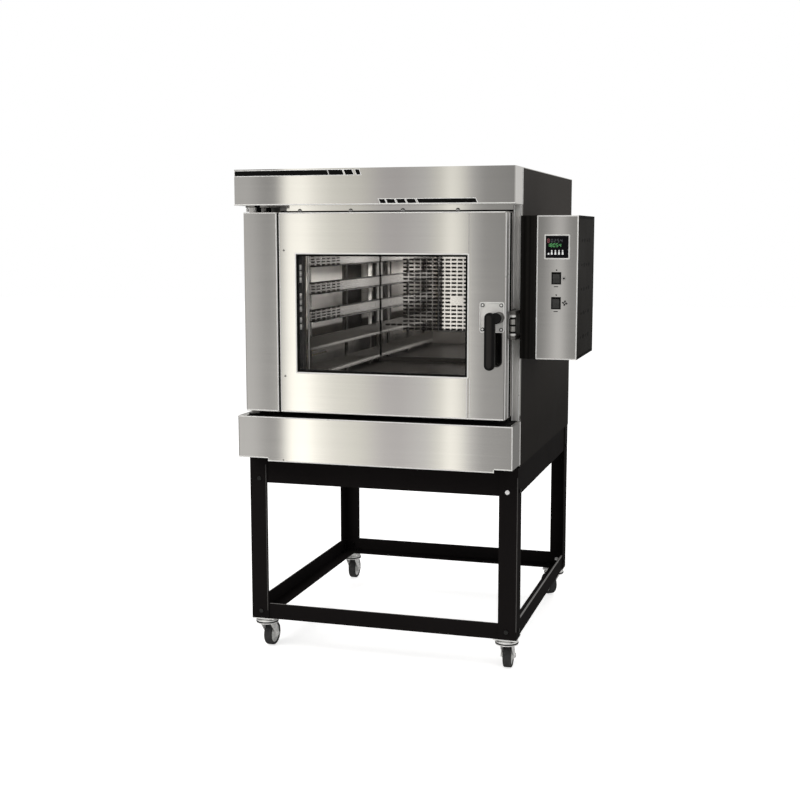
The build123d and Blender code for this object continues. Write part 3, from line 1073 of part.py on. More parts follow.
# Rockers: shallow V profile on two trunnions, at rest tilted with the upper half out
for level, name in zip(SWITCH_LEVELS, ("upper_rocker", "lower_rocker")):
    with BuildPart() as rocker:
        rocker_plane = Plane(
            origin=(SWITCH_X - ROCKER_WIDTH / 2, TRUNNION_Y, level),
            x_dir=Vector(0, 1, 0).rotate(Axis.X, ROCKER_TILT),
            z_dir=(1, 0, 0),
        )
        face_y = -TRUNNION_DEPTH
        crest_y = face_y - ROCKER_CREST
        half = ROCKER_HEIGHT / 2
        with BuildSketch(rocker_plane) as profile:
            with BuildLine():
                Polyline(
                    (crest_y, -half),
                    (face_y + ROCKER_CREST / 2, 0),
                    (crest_y, half),
                    (crest_y + ROCKER_THICKNESS, half),
                    (TRUNNION_RADIUS, TRUNNION_RADIUS),
                    (TRUNNION_RADIUS, -TRUNNION_RADIUS),
                    (crest_y + ROCKER_THICKNESS, -half),
                    close=True,
                )
            make_face()
        extrude(profile.sketch, ROCKER_WIDTH)
        trunnion_span = ROCKER_WIDTH + 2 * TRUNNION_LENGTH
        trunnion_start = (SWITCH_X - trunnion_span / 2, TRUNNION_Y, level)
        rod(trunnion_start, (1, 0, 0), TRUNNION_RADIUS, trunnion_span)
    save(rocker.part, name)
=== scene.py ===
"""Looks of a bakery convection oven on a caster stand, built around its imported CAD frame."""
import json
import logging
import math
from collections.abc import Iterable, Sequence
from dataclasses import dataclass
from enum import Enum

import bmesh
import bpy
import numpy as np
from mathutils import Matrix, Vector

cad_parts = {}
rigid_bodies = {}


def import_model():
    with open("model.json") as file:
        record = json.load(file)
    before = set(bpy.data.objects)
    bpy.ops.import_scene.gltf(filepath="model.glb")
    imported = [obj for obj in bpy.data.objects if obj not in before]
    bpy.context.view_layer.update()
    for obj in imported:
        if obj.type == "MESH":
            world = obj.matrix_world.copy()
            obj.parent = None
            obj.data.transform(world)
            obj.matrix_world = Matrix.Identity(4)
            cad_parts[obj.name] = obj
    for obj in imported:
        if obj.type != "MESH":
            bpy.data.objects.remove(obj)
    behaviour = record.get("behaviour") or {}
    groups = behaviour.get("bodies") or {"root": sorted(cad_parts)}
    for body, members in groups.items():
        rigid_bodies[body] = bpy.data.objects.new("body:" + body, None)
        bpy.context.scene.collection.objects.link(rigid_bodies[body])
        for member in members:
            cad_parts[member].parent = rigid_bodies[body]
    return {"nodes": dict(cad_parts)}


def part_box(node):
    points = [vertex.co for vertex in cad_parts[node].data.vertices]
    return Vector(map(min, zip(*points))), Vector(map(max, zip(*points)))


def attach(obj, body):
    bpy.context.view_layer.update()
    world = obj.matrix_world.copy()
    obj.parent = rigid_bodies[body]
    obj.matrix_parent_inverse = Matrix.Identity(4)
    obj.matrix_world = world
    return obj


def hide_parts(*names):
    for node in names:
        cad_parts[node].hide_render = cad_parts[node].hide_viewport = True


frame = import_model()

Colour = tuple[float, float, float]
Point = tuple[float, float, float]
Span = tuple[float, float]
Band = tuple[float, float, Colour]
Socket = bpy.types.NodeSocket
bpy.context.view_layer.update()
MM = 0.001
MERGE_DISTANCE = 1e-6
SMOOTH_ANGLE = math.radians(38)
# Upright side, inset and height of a thin steel strip's edge, in millimetres.
STRIP = (0.5, 0.5, 0.8)
log = logging.getLogger("oven")


class Facing(Enum):
    """The side that a flat piece looks to: its local across and up directions in the row frame."""

    FRONT = ((1, 0, 0), (0, 0, 1))
    RIGHT = ((0, 1, 0), (0, 0, 1))
    LEFT = ((0, -1, 0), (0, 0, 1))
    REAR = ((-1, 0, 0), (0, 0, 1))
    UP = ((1, 0, 0), (0, 1, 0))
    DOWN = ((1, 0, 0), (0, -1, 0))


class Shape:
    """Vertices and faces of a surface, held as whole arrays."""

    def __init__(self, points: np.ndarray, faces: list[np.ndarray]) -> None:
        """Keep an (n, 3) array of points in millimetres and arrays of equal-sided faces."""
        self.points = np.asarray(points, float).reshape(-1, 3)
        self.faces = [np.asarray(f, int) for f in faces]

    @staticmethod
    def grid(points: np.ndarray, closed_rows: bool = False, closed_columns: bool = False) -> "Shape":
        """Join a (rows, columns, 3) array of points with quads.

        Args:
            points: Points of the surface, one for each pair of its two parameters.
            closed_rows: Whether the last row meets the first.
            closed_columns: Whether the last column meets the first.

        Returns:
            The surface.
        """
        rows, columns = points.shape[:2]
        index = np.arange(rows * columns).reshape(rows, columns)
        if closed_rows:
            index = np.vstack([index, index[:1]])
        if closed_columns:
            index = np.hstack([index, index[:, :1]])
        quads = np.stack([index[:-1, :-1], index[:-1, 1:], index[1:, 1:], index[1:, :-1]], axis=-1)
        return Shape(points, [quads.reshape(-1, 4)])

    @staticmethod
    def join(shapes: Sequence["Shape"]) -> "Shape":
        """Put several shapes into one, side by side."""
        starts = np.cumsum([0] + [len(s.points) for s in shapes[:-1]])
        faces = [f + start for s, start in zip(shapes, starts) for f in s.faces]
        return Shape(np.vstack([s.points for s in shapes]), faces)

    @staticmethod
    def revolved(profile: Sequence[Span], steps: int = 48, closed: bool = False) -> "Shape":
        """Turn a profile about the local z axis: x = r cos t, y = r sin t, z = h.

        Args:
            profile: Pairs of radius and height, from the back of the piece to its front.
            steps: Number of directions round the axis.
            closed: Whether the profile's last pair joins its first, as round a bore.

        Returns:
            The surface of revolution.
        """
        line = np.asarray(profile, float)
        turn = np.linspace(0, 2 * math.pi, steps, endpoint=False)
        radius, height = line[:, :1], line[:, 1:]
        points = np.stack([radius * np.cos(turn), radius * np.sin(turn), height + 0 * turn], axis=-1)
        return Shape.grid(points, closed_rows=closed, closed_columns=True)

    @staticmethod
    def rim(outline: np.ndarray, profile: Sequence[Span], closed: bool = False) -> "Shape":
        """Carry a profile round a closed outline: each ring is the outline set in along its normals.

        Args:
            outline: (n, 2) points of a closed outline, counter-clockwise.
            profile: Pairs of inset and height, from the back of the piece to its front.
            closed: Whether the profile closes on itself, as a seal does; otherwise both ends are capped.

        Returns:
            The closed surface.
        """
        line = np.asarray(outline, float)
        before = line - np.roll(line, 1, axis=0)
        after = np.roll(line, -1, axis=0) - line
        before /= np.linalg.norm(before, axis=1, keepdims=True)
        after /= np.linalg.norm(after, axis=1, keepdims=True)
        normals = np.stack([-before[:, 1] - after[:, 1], before[:, 0] + after[:, 0]], axis=-1)
        normals /= 1 + np.sum(before * after, axis=1, keepdims=True)
        rings = np.asarray(profile, float)
        flat = line + rings[:, :1, None] * normals
        height = np.broadcast_to(rings[:, 1:, None], flat.shape[:2] + (1,))
        shape = Shape.grid(np.concatenate([flat, height], axis=-1), closed, True)
        if not closed:
            count = len(line)
            first = np.arange(count)[::-1].reshape(1, -1)
            last = (len(rings) - 1) * count + np.arange(count).reshape(1, -1)
            shape.faces += [first, last]
        return shape

    @staticmethod
    def sheet(outline: np.ndarray, height: float) -> "Shape":
        """Raise a closed outline to a thin flat sheet."""
        return Shape.rim(outline, [(0.0, 0.0), (0.0, height)])

    @staticmethod
    def plate(outline: np.ndarray, side: float, inset: float, height: float) -> "Shape":
        """Raise a closed outline to a plate whose edge slants in above its upright side."""
        return Shape.rim(outline, [(0.0, 0.0), (0.0, side), (inset, height)])

    @staticmethod
    def bead(length: float, radius: float) -> "Shape":
        """Half-round bead along the local y axis, its flat side at height zero.

        Args:
            length: Length of the bead.
            radius: Half of its width; x = -radius cos t, z = 0.8 radius sin t.

        Returns:
            The closed bead.
        """
        angle = np.linspace(0, math.pi, 7)
        ends = np.array([-length / 2, length / 2])
        points = np.stack(np.broadcast_arrays(-radius * np.cos(angle)[None], ends[:, None],
                                              0.8 * radius * np.sin(angle)[None]), axis=-1)
        shape = Shape.grid(points)
        count = len(angle)
        shape.faces += [np.array([[0, count, 2 * count - 1, count - 1]]), np.arange(count).reshape(1, -1),
                        count + np.arange(count)[::-1].reshape(1, -1)]
        return shape

    @staticmethod
    def level_bead(start: float, end: float, radius: float, y: float, z: float,
                   facing: Facing = Facing.FRONT) -> "Shape":
        """Run a bead from one x to another over a face."""
        return Shape.bead(end - start, radius).turned(90.0).placed(((start + end) / 2, y, z), facing)

    @staticmethod
    def upright_bead(bottom: float, top: float, radius: float, x: float, y: float,
                     facing: Facing = Facing.FRONT) -> "Shape":
        """Run a bead from one height to another up a face."""
        return Shape.bead(top - bottom, radius).placed((x, y, (bottom + top) / 2), facing)

    def placed(self, origin: Point, facing: Facing = Facing.FRONT) -> "Shape":
        """Set the shape down with its local z axis along the direction it faces.

        Args:
            origin: Place of the local origin in the row frame, in millimetres.
            facing: The side that the piece looks to.

        Returns:
            The placed shape.
        """
        across, up = (np.array(v, float) for v in facing.value)
        frame_axes = np.stack([across, up, np.cross(across, up)])
        return Shape(self.points @ frame_axes + np.array(origin, float), self.faces)

    def turned(self, angle: float) -> "Shape":
        """Turn the shape about its local z axis by an angle in degrees."""
        c, s = math.cos(math.radians(angle)), math.sin(math.radians(angle))
        return Shape(self.points @ np.array([[c, s, 0], [-s, c, 0], [0, 0, 1]]), self.faces)

    def aimed(self, origin: Point, heading: float) -> "Shape":
        """Lay the shape on its side with local z horizontal, turned to a heading.

        Args:
            origin: Place of the local origin in the row frame, in millimetres.
            heading: Angle of the local z axis from +X towards +Y, in degrees.

        Returns:
            The placed shape, with local y upwards.
        """
        a = math.radians(heading)
        out = np.array([math.cos(a), math.sin(a), 0.0])
        up = np.array([0.0, 0.0, 1.0])
        frame_axes = np.stack([np.cross(up, out), up, out])
        return Shape(self.points @ frame_axes + np.array(origin, float), self.faces)

    def copies(self, offsets: np.ndarray) -> "Shape":
        """Repeat the shape at each of an (n, 3) array of offsets."""
        places = np.asarray(offsets, float).reshape(-1, 1, 3)
        steps = np.arange(len(places)).reshape(-1, 1, 1) * len(self.points)
        faces = [(f[None] + steps).reshape(-1, f.shape[1]) for f in self.faces]
        return Shape((self.points[None] + places).reshape(-1, 3), faces)

    def repeated(self, places: Sequence[Point] | np.ndarray, facing: Facing = Facing.FRONT) -> "Shape":
        """Turn the shape to a facing and repeat it at each of several places."""
        return self.placed((0.0, 0.0, 0.0), facing).copies(places)


class Outline:
    """Closed flat outlines as arrays of points, counter-clockwise."""

    @staticmethod
    def rounded(width: float, height: float, radius: float, steps: int = 6) -> np.ndarray:
        """Rectangle with round corners: four quarter circles joined by straight sides.

        Args:
            width: Overall width.
            height: Overall height.
            radius: Corner radius.
            steps: Points on each quarter circle, less one.

        Returns:
            The outline's (n, 2) points, centred on the origin.
        """
        quarter = np.linspace(0, math.pi / 2, steps + 1)
        corners = np.array([[1, 1], [-1, 1], [-1, -1], [1, -1]], float)
        centres = corners * [width / 2 - radius, height / 2 - radius]
        turn = quarter[None, :] + np.arange(4)[:, None] * math.pi / 2
        arc = radius * np.stack([np.cos(turn), np.sin(turn)], axis=-1)
        return (centres[:, None] + arc).reshape(-1, 2)

    @staticmethod
    def polygon(radius: float, sides: int, start: float = 0.0) -> np.ndarray:
        """Regular polygon with its corners at a radius, turned by a start angle in degrees."""
        turn = math.radians(start) + np.arange(sides) * 2 * math.pi / sides
        return radius * np.stack([np.cos(turn), np.sin(turn)], axis=-1)

    @staticmethod
    def slanted(left: float, right: float, bottom: float, top: float, slant_left: float,
                slant_right: float) -> np.ndarray:
        """Bar with slanted ends, each pushed to the right at its bottom by its slant."""
        corners = ((left + slant_left, bottom), (right + slant_right, bottom), (right, top), (left, top))
        return np.array(corners)

    @staticmethod
    def bar(left: float, right: float, bottom: float, top: float) -> np.ndarray:
        """Plain upright rectangle."""
        return np.array([[left, bottom], [right, bottom], [right, top], [left, top]])

    @staticmethod
    def turned(outline: np.ndarray, angle: float) -> np.ndarray:
        """Turn an outline about the origin by an angle in degrees."""
        c, s = math.cos(math.radians(angle)), math.sin(math.radians(angle))
        return outline @ np.array([[c, s], [-s, c]])


def linked(name: str, data: bpy.types.ID) -> bpy.types.Object:
    """Add an object with its data to the scene."""
    made = bpy.data.objects.new(name, data)
    bpy.context.scene.collection.objects.link(made)
    return made


class Piece:
    """Turns shapes into Blender objects that ride on CAD bodies."""

    @staticmethod
    def make(name: str, shape: Shape, finish: "Finish", body: str, replaces: Iterable[str] = (),
             smooth: bool = True) -> bpy.types.Object:
        """Build one finished piece at the origin, with its place in its mesh.

        Args:
            name: Name of the piece.
            shape: Its surface, in millimetres.
            finish: The finish that it gets.
            body: CAD body that it rides on.
            replaces: CAD nodes that it stands for.
            smooth: Whether gentle edges are shaded smooth.

        Returns:
            The object.
        """
        mesh = bpy.data.meshes.new(name)
        mesh.from_pydata(shape.points * MM, [], [tuple(face) for f in shape.faces for face in f])
        mesh.materials.append(finish.material())
        Piece.clean(mesh)
        if smooth:
            mesh.shade_smooth()
            mesh.set_sharp_from_angle(angle=SMOOTH_ANGLE)
        made = linked(name, mesh)
        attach(made, body)
        if replaces:
            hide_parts(*replaces)
        return made

    @staticmethod
    def marks(name: str, outlines: Iterable[np.ndarray], height: float, origin: Point,
              finish: "Finish") -> None:
        """Lay thin flat marks on a face of the oven as one piece.

        Args:
            name: Name of the piece.
            outlines: Outline of each mark, in the face's own directions.
            height: Thickness of the marks.
            origin: Place of the face's origin.
            finish: The finish that they get.
        """
        shape = Shape.join([Shape.sheet(outline, height) for outline in outlines])
        Piece.make(name, shape.placed(origin), finish, "oven", smooth=False)

    @staticmethod
    def clean(mesh: bpy.types.Mesh) -> None:
        """Merge the mesh's doubles, so that poles and seams close, and turn its faces outwards."""
        work = bmesh.new()
        work.from_mesh(mesh)
        bmesh.ops.remove_doubles(work, verts=work.verts, dist=MERGE_DISTANCE)
        bmesh.ops.recalc_face_normals(work, faces=work.faces)
        work.to_mesh(mesh)
        work.free()
        mesh.update()


class Nodes:
    """Node tree, with short methods for the nodes that finishes and backdrop use."""

    def __init__(self, tree: bpy.types.NodeTree) -> None:
        """Keep the tree that the nodes go to."""
        self.tree = tree

    def feed(self, socket: Socket, value: object) -> None:
        """Link a socket to another one, or set its number or colour."""
        if isinstance(value, Socket):
            self.tree.links.new(value, socket)
        elif isinstance(value, tuple) and len(value) == 3 and socket.type == "RGBA":
            socket.default_value = (*value, 1.0)
        else:
            socket.default_value = value

    def add(self, kind: str, inputs: dict[str | int, object] | None = None,
            **settings: object) -> bpy.types.Node:
        """Add a node.

        Args:
            kind: Its type.
            inputs: Values of its inputs, by name or number.
            settings: Its properties, which are set first.

        Returns:
            The node.
        """
        node = self.tree.nodes.new(kind)
        for key, value in settings.items():
            setattr(node, key, value)
        for key, value in (inputs or {}).items():
            self.feed(node.inputs[key], value)
        return node

    def split(self, vector: Socket) -> tuple[Socket, ...]:
        """Split a vector into x, y and z."""
        return tuple(self.add("ShaderNodeSeparateXYZ", {0: vector}).outputs)

    def spread(self, value: object, low: float, high: float, start: float = 0.3, end: float = 0.7) -> Socket:
        """Map a value from start..end to low..high, held inside it."""
        inputs = {"Value": value, "From Min": start, "From Max": end, "To Min": low, "To Max": high}
        return self.add("ShaderNodeMapRange", inputs).outputs["Result"]

    def maths(self, operation: str, *values: object) -> Socket:
        """Combine numbers with an operation."""
        return self.add("ShaderNodeMath", dict(enumerate(values)), operation=operation).outputs[0]

    def chain(self, operation: str, first: Socket, *others: object) -> Socket:
        """Combine any count of numbers with an operation, two at a time."""
        for other in others:
            first = self.maths(operation, first, other)
        return first

    def blend(self, share: object, first: object, second: object, mode: str = "MIX") -> Socket:
        """Mix two colours by a share."""
        inputs = {"Factor": share, 6: first, 7: second}
        return self.add("ShaderNodeMix", inputs, data_type="RGBA", blend_type=mode).outputs[2]

    def choose(self, share: object, first: Socket, second: Socket) -> Socket:
        """Mix two shaders by a share."""
        return self.add("ShaderNodeMixShader", {"Fac": share, 1: first, 2: second}).outputs[0]

    def light(self, colour: object, strength: object) -> Socket:
        """Give a backdrop's light of a colour and strength."""
        return self.add("ShaderNodeBackground", {"Color": colour, "Strength": strength}).outputs[0]


class Shader(Nodes):
    """Node tree of one material, with the patterns that its surface is made of."""

    def __init__(self, name: str) -> None:
        """Start a material with a Principled node."""
        self.result = bpy.data.materials.new(name)
        self.result.use_nodes = True
        super().__init__(self.result.node_tree)
        self.surface = self.tree.nodes["Principled BSDF"]
        self.output = self.tree.nodes["Material Output"]

    def set(self, **values: object) -> None:
        """Set or link sockets of the Principled node by name, with _ for a space."""
        for key, value in values.items():
            self.feed(self.surface.inputs[key.replace("_", " ")], value)

    def painted(self) -> Socket:
        """Give the colour that the Principled node has so far."""
        return self.surface.inputs["Base Color"].links[0].from_socket

    def place(self, scale: Point = (1.0, 1.0, 1.0)) -> Socket:
        """Give Object coordinates in metres, stretched by a scale."""
        source = self.add("ShaderNodeTexCoord").outputs["Object"]
        return self.add("ShaderNodeMapping", {"Vector": source, "Scale": scale}).outputs["Vector"]

    def axes(self) -> tuple[Socket, ...]:
        """Give x, y and z in metres."""
        return self.split(self.place())

    def noise(self, vector: Socket, scale: float, detail: float = 3.0, roughness: float = 0.55) -> Socket:
        """Give a noise value from 0 to 1 over a vector."""
        inputs = {"Vector": vector, "Scale": scale, "Detail": detail, "Roughness": roughness}
        return self.add("ShaderNodeTexNoise", inputs).outputs["Fac"]

    def cells(self, vector: Socket, scale: float) -> Socket:
        """Give the colours of a pattern of cells over a vector."""
        return self.add("ShaderNodeTexVoronoi", {"Vector": vector, "Scale": scale}).outputs["Color"]

    def toned(self, pattern: Socket, colour: Colour, low: float, high: float = 1.0) -> Socket:
        """Vary a colour's brightness between two factors over a pattern."""
        return self.blend(self.spread(pattern, 0.0, 1.0), shade(colour, low), shade(colour, high))

    def bump(self, height: Socket, strength: float, distance: float, onto: Socket | None = None) -> Socket:
        """Turn a height into a bumped normal.

        Args:
            height: The height, from 0 to 1.
            strength: Share of the bump that is applied.
            distance: Depth of the bump in millimetres.
            onto: A normal that it adds to, if any.

        Returns:
            The normal.
        """
        inputs = {"Height": height, "Strength": strength, "Distance": distance * MM}
        if onto is not None:
            inputs["Normal"] = onto
        return self.add("ShaderNodeBump", inputs).outputs["Normal"]


def shade(colour: Colour, factor: float) -> Colour:
    """Scale a colour's brightness."""
    return tuple(min(1.0, c * factor) for c in colour)


@dataclass(frozen=True)
class Finish:
    """A named surface finish, built once for all its pieces, and the record's slot that it stands for."""

    name: str
    slot: str | None = None

    def material(self) -> bpy.types.Material:
        """Give the finish's material, building it on its first use."""
        title = f"dressed_{self.name}"
        if title not in bpy.data.materials:
            self.build(Shader(title))
        return bpy.data.materials[title]

    def build(self, shader: Shader) -> None:
        """Build the material's nodes."""
        raise NotImplementedError

    def dress(self, *nodes: str) -> None:
        """Give the finish to CAD nodes by name."""
        for name in nodes:
            mesh = frame["nodes"][name].data
            mesh.materials.clear()
            mesh.materials.append(self.material())


@dataclass(frozen=True)
class BrushedSteel(Finish):
    """Stainless sheet with a horizontal grain that draws reflections out into upright bands."""

    colour: Colour = (0.62, 0.61, 0.595)
    roughness: float = 0.085
    anisotropy: float = 1.0
    grain: Point = (2.0, 2.0, 520.0)
    streak: Point = (0.9, 0.9, 75.0)
    grain_depth: float = 0.012
    tone: float = 0.03
    metallic: float = 1.0

    def build(self, shader: Shader) -> None:
        """Layer fine grain, longer streaks and wiped smudges into colour, roughness and bump."""
        fine = shader.noise(shader.place(self.grain), 1.0, 4.0, 0.7)
        streak = shader.noise(shader.place(self.streak), 1.0, 3.0, 0.6)
        smudge = shader.noise(shader.place(), 5.5, 4.0, 0.6)
        pattern = shader.maths("MULTIPLY_ADD", fine, 0.6, shader.maths("MULTIPLY", streak, 0.4))
        rough = shader.spread(pattern, self.roughness * 0.85, self.roughness * 1.15)
        wiped = shader.spread(smudge, 0.0, self.roughness * 0.22, 0.5, 0.75)
        shader.set(Base_Color=shader.toned(pattern, self.colour, 1 - self.tone, 1 + self.tone),
                   Metallic=self.metallic, Roughness=shader.maths("ADD", rough, wiped),
                   Anisotropic=self.anisotropy, Anisotropic_Rotation=0.25,
                   Normal=shader.bump(fine, self.grain_depth, 0.2))


@dataclass(frozen=True)
class LowShadeSteel(BrushedSteel):
    """Steel of the cavity's sides, darkened below a height as painted shade."""

    colour: Colour = (0.9, 0.88, 0.85)
    roughness: float = 0.3
    metallic: float = 0.12
    foot: float = 1.074
    fade: float = 0.004
    shade_tone: Colour = (0.12, 0.112, 0.1)

    def build(self, shader: Shader) -> None:
        """Darken the steel below the height: painted shade."""
        super().build(shader)
        # clean is the share above the height; below it the steel takes its painted shade.
        clean = shader.spread(shader.axes()[2], 0.0, 1.0, self.foot - self.fade, self.foot + self.fade)
        shader.set(Base_Color=shader.blend(clean, self.shade_tone, shader.painted()))


@dataclass(frozen=True)
class RackSteel(BrushedSteel):
    """Tray-rack steel with painted shade: black lines on the upper bands' edges, dim lower bands and black
    middle posts.
    """

    lowest: float = 0.926
    pitch: float = 0.089
    lip: float = 0.004
    edge: float = 0.0375
    edge_reach: float = 0.0032
    dim_below: float = 1.06
    dim: Colour = (0.2, 0.19, 0.175)
    post_y: float = -0.005
    post_reach: float = 0.0106
    middle: float = -0.03575
    behind_bands: float = 0.3019
    shade_tone: Colour = (0.045, 0.042, 0.038)
    post_shade_from: float = 0.97

    def build(self, shader: Shader) -> None:
        """Blacken the bands' edges and the middle posts behind them, and dim the lower bands, all as painted
        shade.
        """
        super().build(shader)
        x, y, z = shader.axes()
        out = shader.maths("ABSOLUTE", shader.maths("SUBTRACT", x, self.middle))
        post = shader.chain("MULTIPLY", shader.maths("COMPARE", y, self.post_y, self.post_reach),
                            shader.maths("GREATER_THAN", out, self.behind_bands),
                            shader.maths("GREATER_THAN", z, self.post_shade_from))
        rise = shader.maths("FLOORED_MODULO", shader.maths("SUBTRACT", z, self.lowest), self.pitch)
        high = shader.maths("GREATER_THAN", z, self.dim_below)
        edges = shader.maths("MAXIMUM", shader.maths("COMPARE", rise, self.edge, self.edge_reach),
                             shader.maths("LESS_THAN", rise, self.lip))
        # Painted shade: black lines along the bands' edges, black posts where the air opening is dark behind
        # them.
        black = shader.maths("MAXIMUM", post, shader.maths("MULTIPLY", high, edges))
        low = shader.maths("GREATER_THAN", shader.maths("SUBTRACT", rise, high), self.lip)
        shader.set(Base_Color=shader.blend(black, shader.blend(low, shader.painted(), self.dim), self.shade_tone))


@dataclass(frozen=True)
class PowderCoat(Finish):
    """Baked paint with fine orange peel, a slightly uneven tone and faint scuffs."""

    colour: Colour = (0.036, 0.035, 0.033)
    roughness: float = 0.5
    peel: float = 0.12
    peel_scale: float = 700.0
    specular: float = 0.06

    def build(self, shader: Shader) -> None:
        """Mix a broad tone, a fine peel and short scuffs."""
        plain = shader.place()
        tone = shader.noise(plain, 3.0, 4.0)
        peel = shader.noise(plain, self.peel_scale, 2.0)
        scuff = shader.noise(shader.place((9.0, 9.0, 160.0)), 1.0, 5.0, 0.75)
        body = shader.toned(tone, self.colour, 0.9, 1.12)
        worn = shader.blend(shader.spread(scuff, 0.0, 0.35, 0.66, 0.8), body, shade(self.colour, 2.0))
        rough = shader.spread(tone, self.roughness - 0.05, self.roughness + 0.06)
        shader.set(Base_Color=worn, Roughness=rough, Specular_IOR_Level=self.specular,
                   Normal=shader.bump(peel, self.peel, 0.3))


@dataclass(frozen=True)
class LeverCoat(PowderCoat):
    """Lever coating: dark grip, black painted shade round its flank, and a greyer neck of painted light
    behind it.
    """

    face: float = -0.5742
    neck: float = -0.5527
    # The flank's black is painted shade and the neck's grey is painted light.
    flank: Colour = (0.003, 0.003, 0.003)
    neck_highlight: Colour = (0.12, 0.115, 0.11)

    def build(self, shader: Shader) -> None:
        """Step the tone by the depth behind the grip's face: painted shade on the flank, painted light on the
        neck.
        """
        super().build(shader)
        y = shader.axes()[1]
        sides = shader.blend(shader.maths("GREATER_THAN", y, self.neck), self.flank, self.neck_highlight)
        behind = shader.maths("GREATER_THAN", y, self.face)
        shader.set(Base_Color=shader.blend(behind, shader.painted(), sides))


@dataclass(frozen=True)
class TopLitCoat(PowderCoat):
    """Baked paint that is lighter towards its top: painted light."""

    span: Span = (0.75, 1.4)
    change: Span = (0.95, 2.4)

    def build(self, shader: Shader) -> None:
        """Scale the paint's tone by the height, as painted light."""
        super().build(shader)
        level = shader.spread(shader.axes()[2], *self.change, *self.span)
        scaled = shader.add("ShaderNodeVectorMath", {0: shader.painted(), "Scale": level}, operation="SCALE")
        shader.set(Base_Color=scaled.outputs[0])


@dataclass(frozen=True)
class FoldedCoat(PowderCoat):
    """Baked paint on a folded shell, with painted shade: a darker recessed front with soft shaded fold lines,
    and black side borders and vent rings.
    """

    edge: float = 0.4142
    fade: float = 0.001
    front_share: float = 0.3
    black: Colour = (0.002, 0.002, 0.002)
    side_y: Span = (-0.4165, -0.104)
    side_z: Span = (1.0185, 1.4335)
    vent_y: float = -0.247
    vent_apart: float = 0.05
    vent_z: float = 1.22
    vent_step: float = 0.037
    vent_reach: float = 0.0068
    vent_smear: float = 0.42

    def framed(self, shader: Shader, y: Socket, z: Socket) -> Socket:
        """Mark the side's folded border and the rings round its vents, which take black painted shade.

        Args:
            shader: The material's nodes.
            y: Depth in metres.
            z: Height in metres.

        Returns:
            1 on the marked parts, otherwise 0.
        """
        across = shader.maths("ABSOLUTE", shader.maths("SUBTRACT", y, self.vent_y))
        across = shader.maths("MULTIPLY", shader.maths("SUBTRACT", across, self.vent_apart), self.vent_smear)
        up = shader.maths("PINGPONG", shader.maths("SUBTRACT", z, self.vent_z), self.vent_step)
        squares = shader.maths("ADD", *(shader.maths("MULTIPLY", side, side) for side in (across, up)))
        border = [shader.maths(test, axis, limit) for axis, limits in ((y, self.side_y), (z, self.side_z))
                  for test, limit in zip(("LESS_THAN", "GREATER_THAN"), limits)]
        return shader.chain("MAXIMUM", shader.maths("LESS_THAN", squares, self.vent_reach ** 2), *border)

    def build(self, shader: Shader) -> None:
        """Darken the paint on the inner side of the edge and draw upright fold lines there, as painted shade.
        """
        super().build(shader)
        x, y, z = shader.axes()
        inner = shader.spread(x, 1.0, 0.0, self.edge - self.fade, self.edge + self.fade)
        fold = shader.noise(shader.place((150.0, 0.4, 0.4)), 1.0, 2.0)
        dark = shader.toned(fold, self.colour, self.front_share * 0.5, self.front_share * 1.5)
        # The side's black border and vent rings are painted shade.
        side = shader.blend(self.framed(shader, y, z), shader.painted(), self.black)
        shader.set(Base_Color=shader.blend(inner, side, dark))


@dataclass(frozen=True)
class ZincCoat(Finish):
    """Plated or dipped zinc, mottled by its crystals."""

    colour: Colour = (0.74, 0.745, 0.75)
    roughness: float = 0.3
    spangle_scale: float = 90.0
    spangle: float = 0.12
    metallic: float = 1.0

    def build(self, shader: Shader) -> None:
        """Break the surface into crystals of slightly different tone and gloss."""
        plain = shader.place()
        stain = shader.noise(plain, 24.0, 5.0, 0.65)
        crystal = shader.blend(self.spangle, self.colour, shader.cells(plain, self.spangle_scale), "OVERLAY")
        dulled = shader.blend(shader.spread(stain, 0.0, 0.5, 0.52, 0.72), crystal, shade(self.colour, 0.72))
        shader.set(Base_Color=dulled, Metallic=self.metallic,
                   Roughness=shader.spread(stain, self.roughness - 0.07, self.roughness + 0.14),
                   Normal=shader.bump(stain, 0.05, 0.3))


@dataclass(frozen=True)
class MixedBolts(ZincCoat):
    """Bolt heads that are black, except for bright ones high at the front right and low at the rear right."""

    black: Colour = (0.004, 0.004, 0.004)
    upper: Span = (0.45, 0.46)
    right: Span = (0.0, 0.01)
    front: float = -0.42
    low: float = 0.2
    rear: float = 0.45
    rear_bolt: float = 0.331
    rear_reach: float = 0.02

    def build(self, shader: Shader) -> None:
        """Blacken every head but the bright ones."""
        super().build(shader)
        x, y, z = shader.axes()
        high = shader.chain("MULTIPLY", shader.spread(z, 0.0, 1.0, *self.upper),
                            shader.spread(x, 0.0, 1.0, *self.right), shader.maths("LESS_THAN", y, self.front))
        behind = shader.chain("MULTIPLY", shader.maths("LESS_THAN", z, self.low),
                              shader.maths("COMPARE", x, self.rear_bolt, self.rear_reach),
                              shader.maths("GREATER_THAN", y, self.rear))
        bright = shader.maths("MAXIMUM", high, behind)
        shader.set(Base_Color=shader.blend(bright, self.black, shader.painted()))


@dataclass(frozen=True)
class TurnedMetal(Finish):
    """Polished or turned steel and chrome, with hairline scratches."""

    colour: Colour = (0.7, 0.69, 0.68)
    roughness: float = 0.12
    scratch: Point = (60.0, 60.0, 900.0)
    metallic: float = 1.0

    def build(self, shader: Shader) -> None:
        """Lay hairlines and a faint haze over the metal."""
        hairline = shader.noise(shader.place(self.scratch), 1.0, 3.0, 0.8)
        haze = shader.noise(shader.place(), 40.0, 4.0)
        shader.set(Base_Color=shader.toned(hairline, self.colour, 0.92), Metallic=self.metallic,
                   Roughness=shader.spread(haze, self.roughness * 0.8, self.roughness * 1.5),
                   Normal=shader.bump(hairline, 0.04, 0.1))


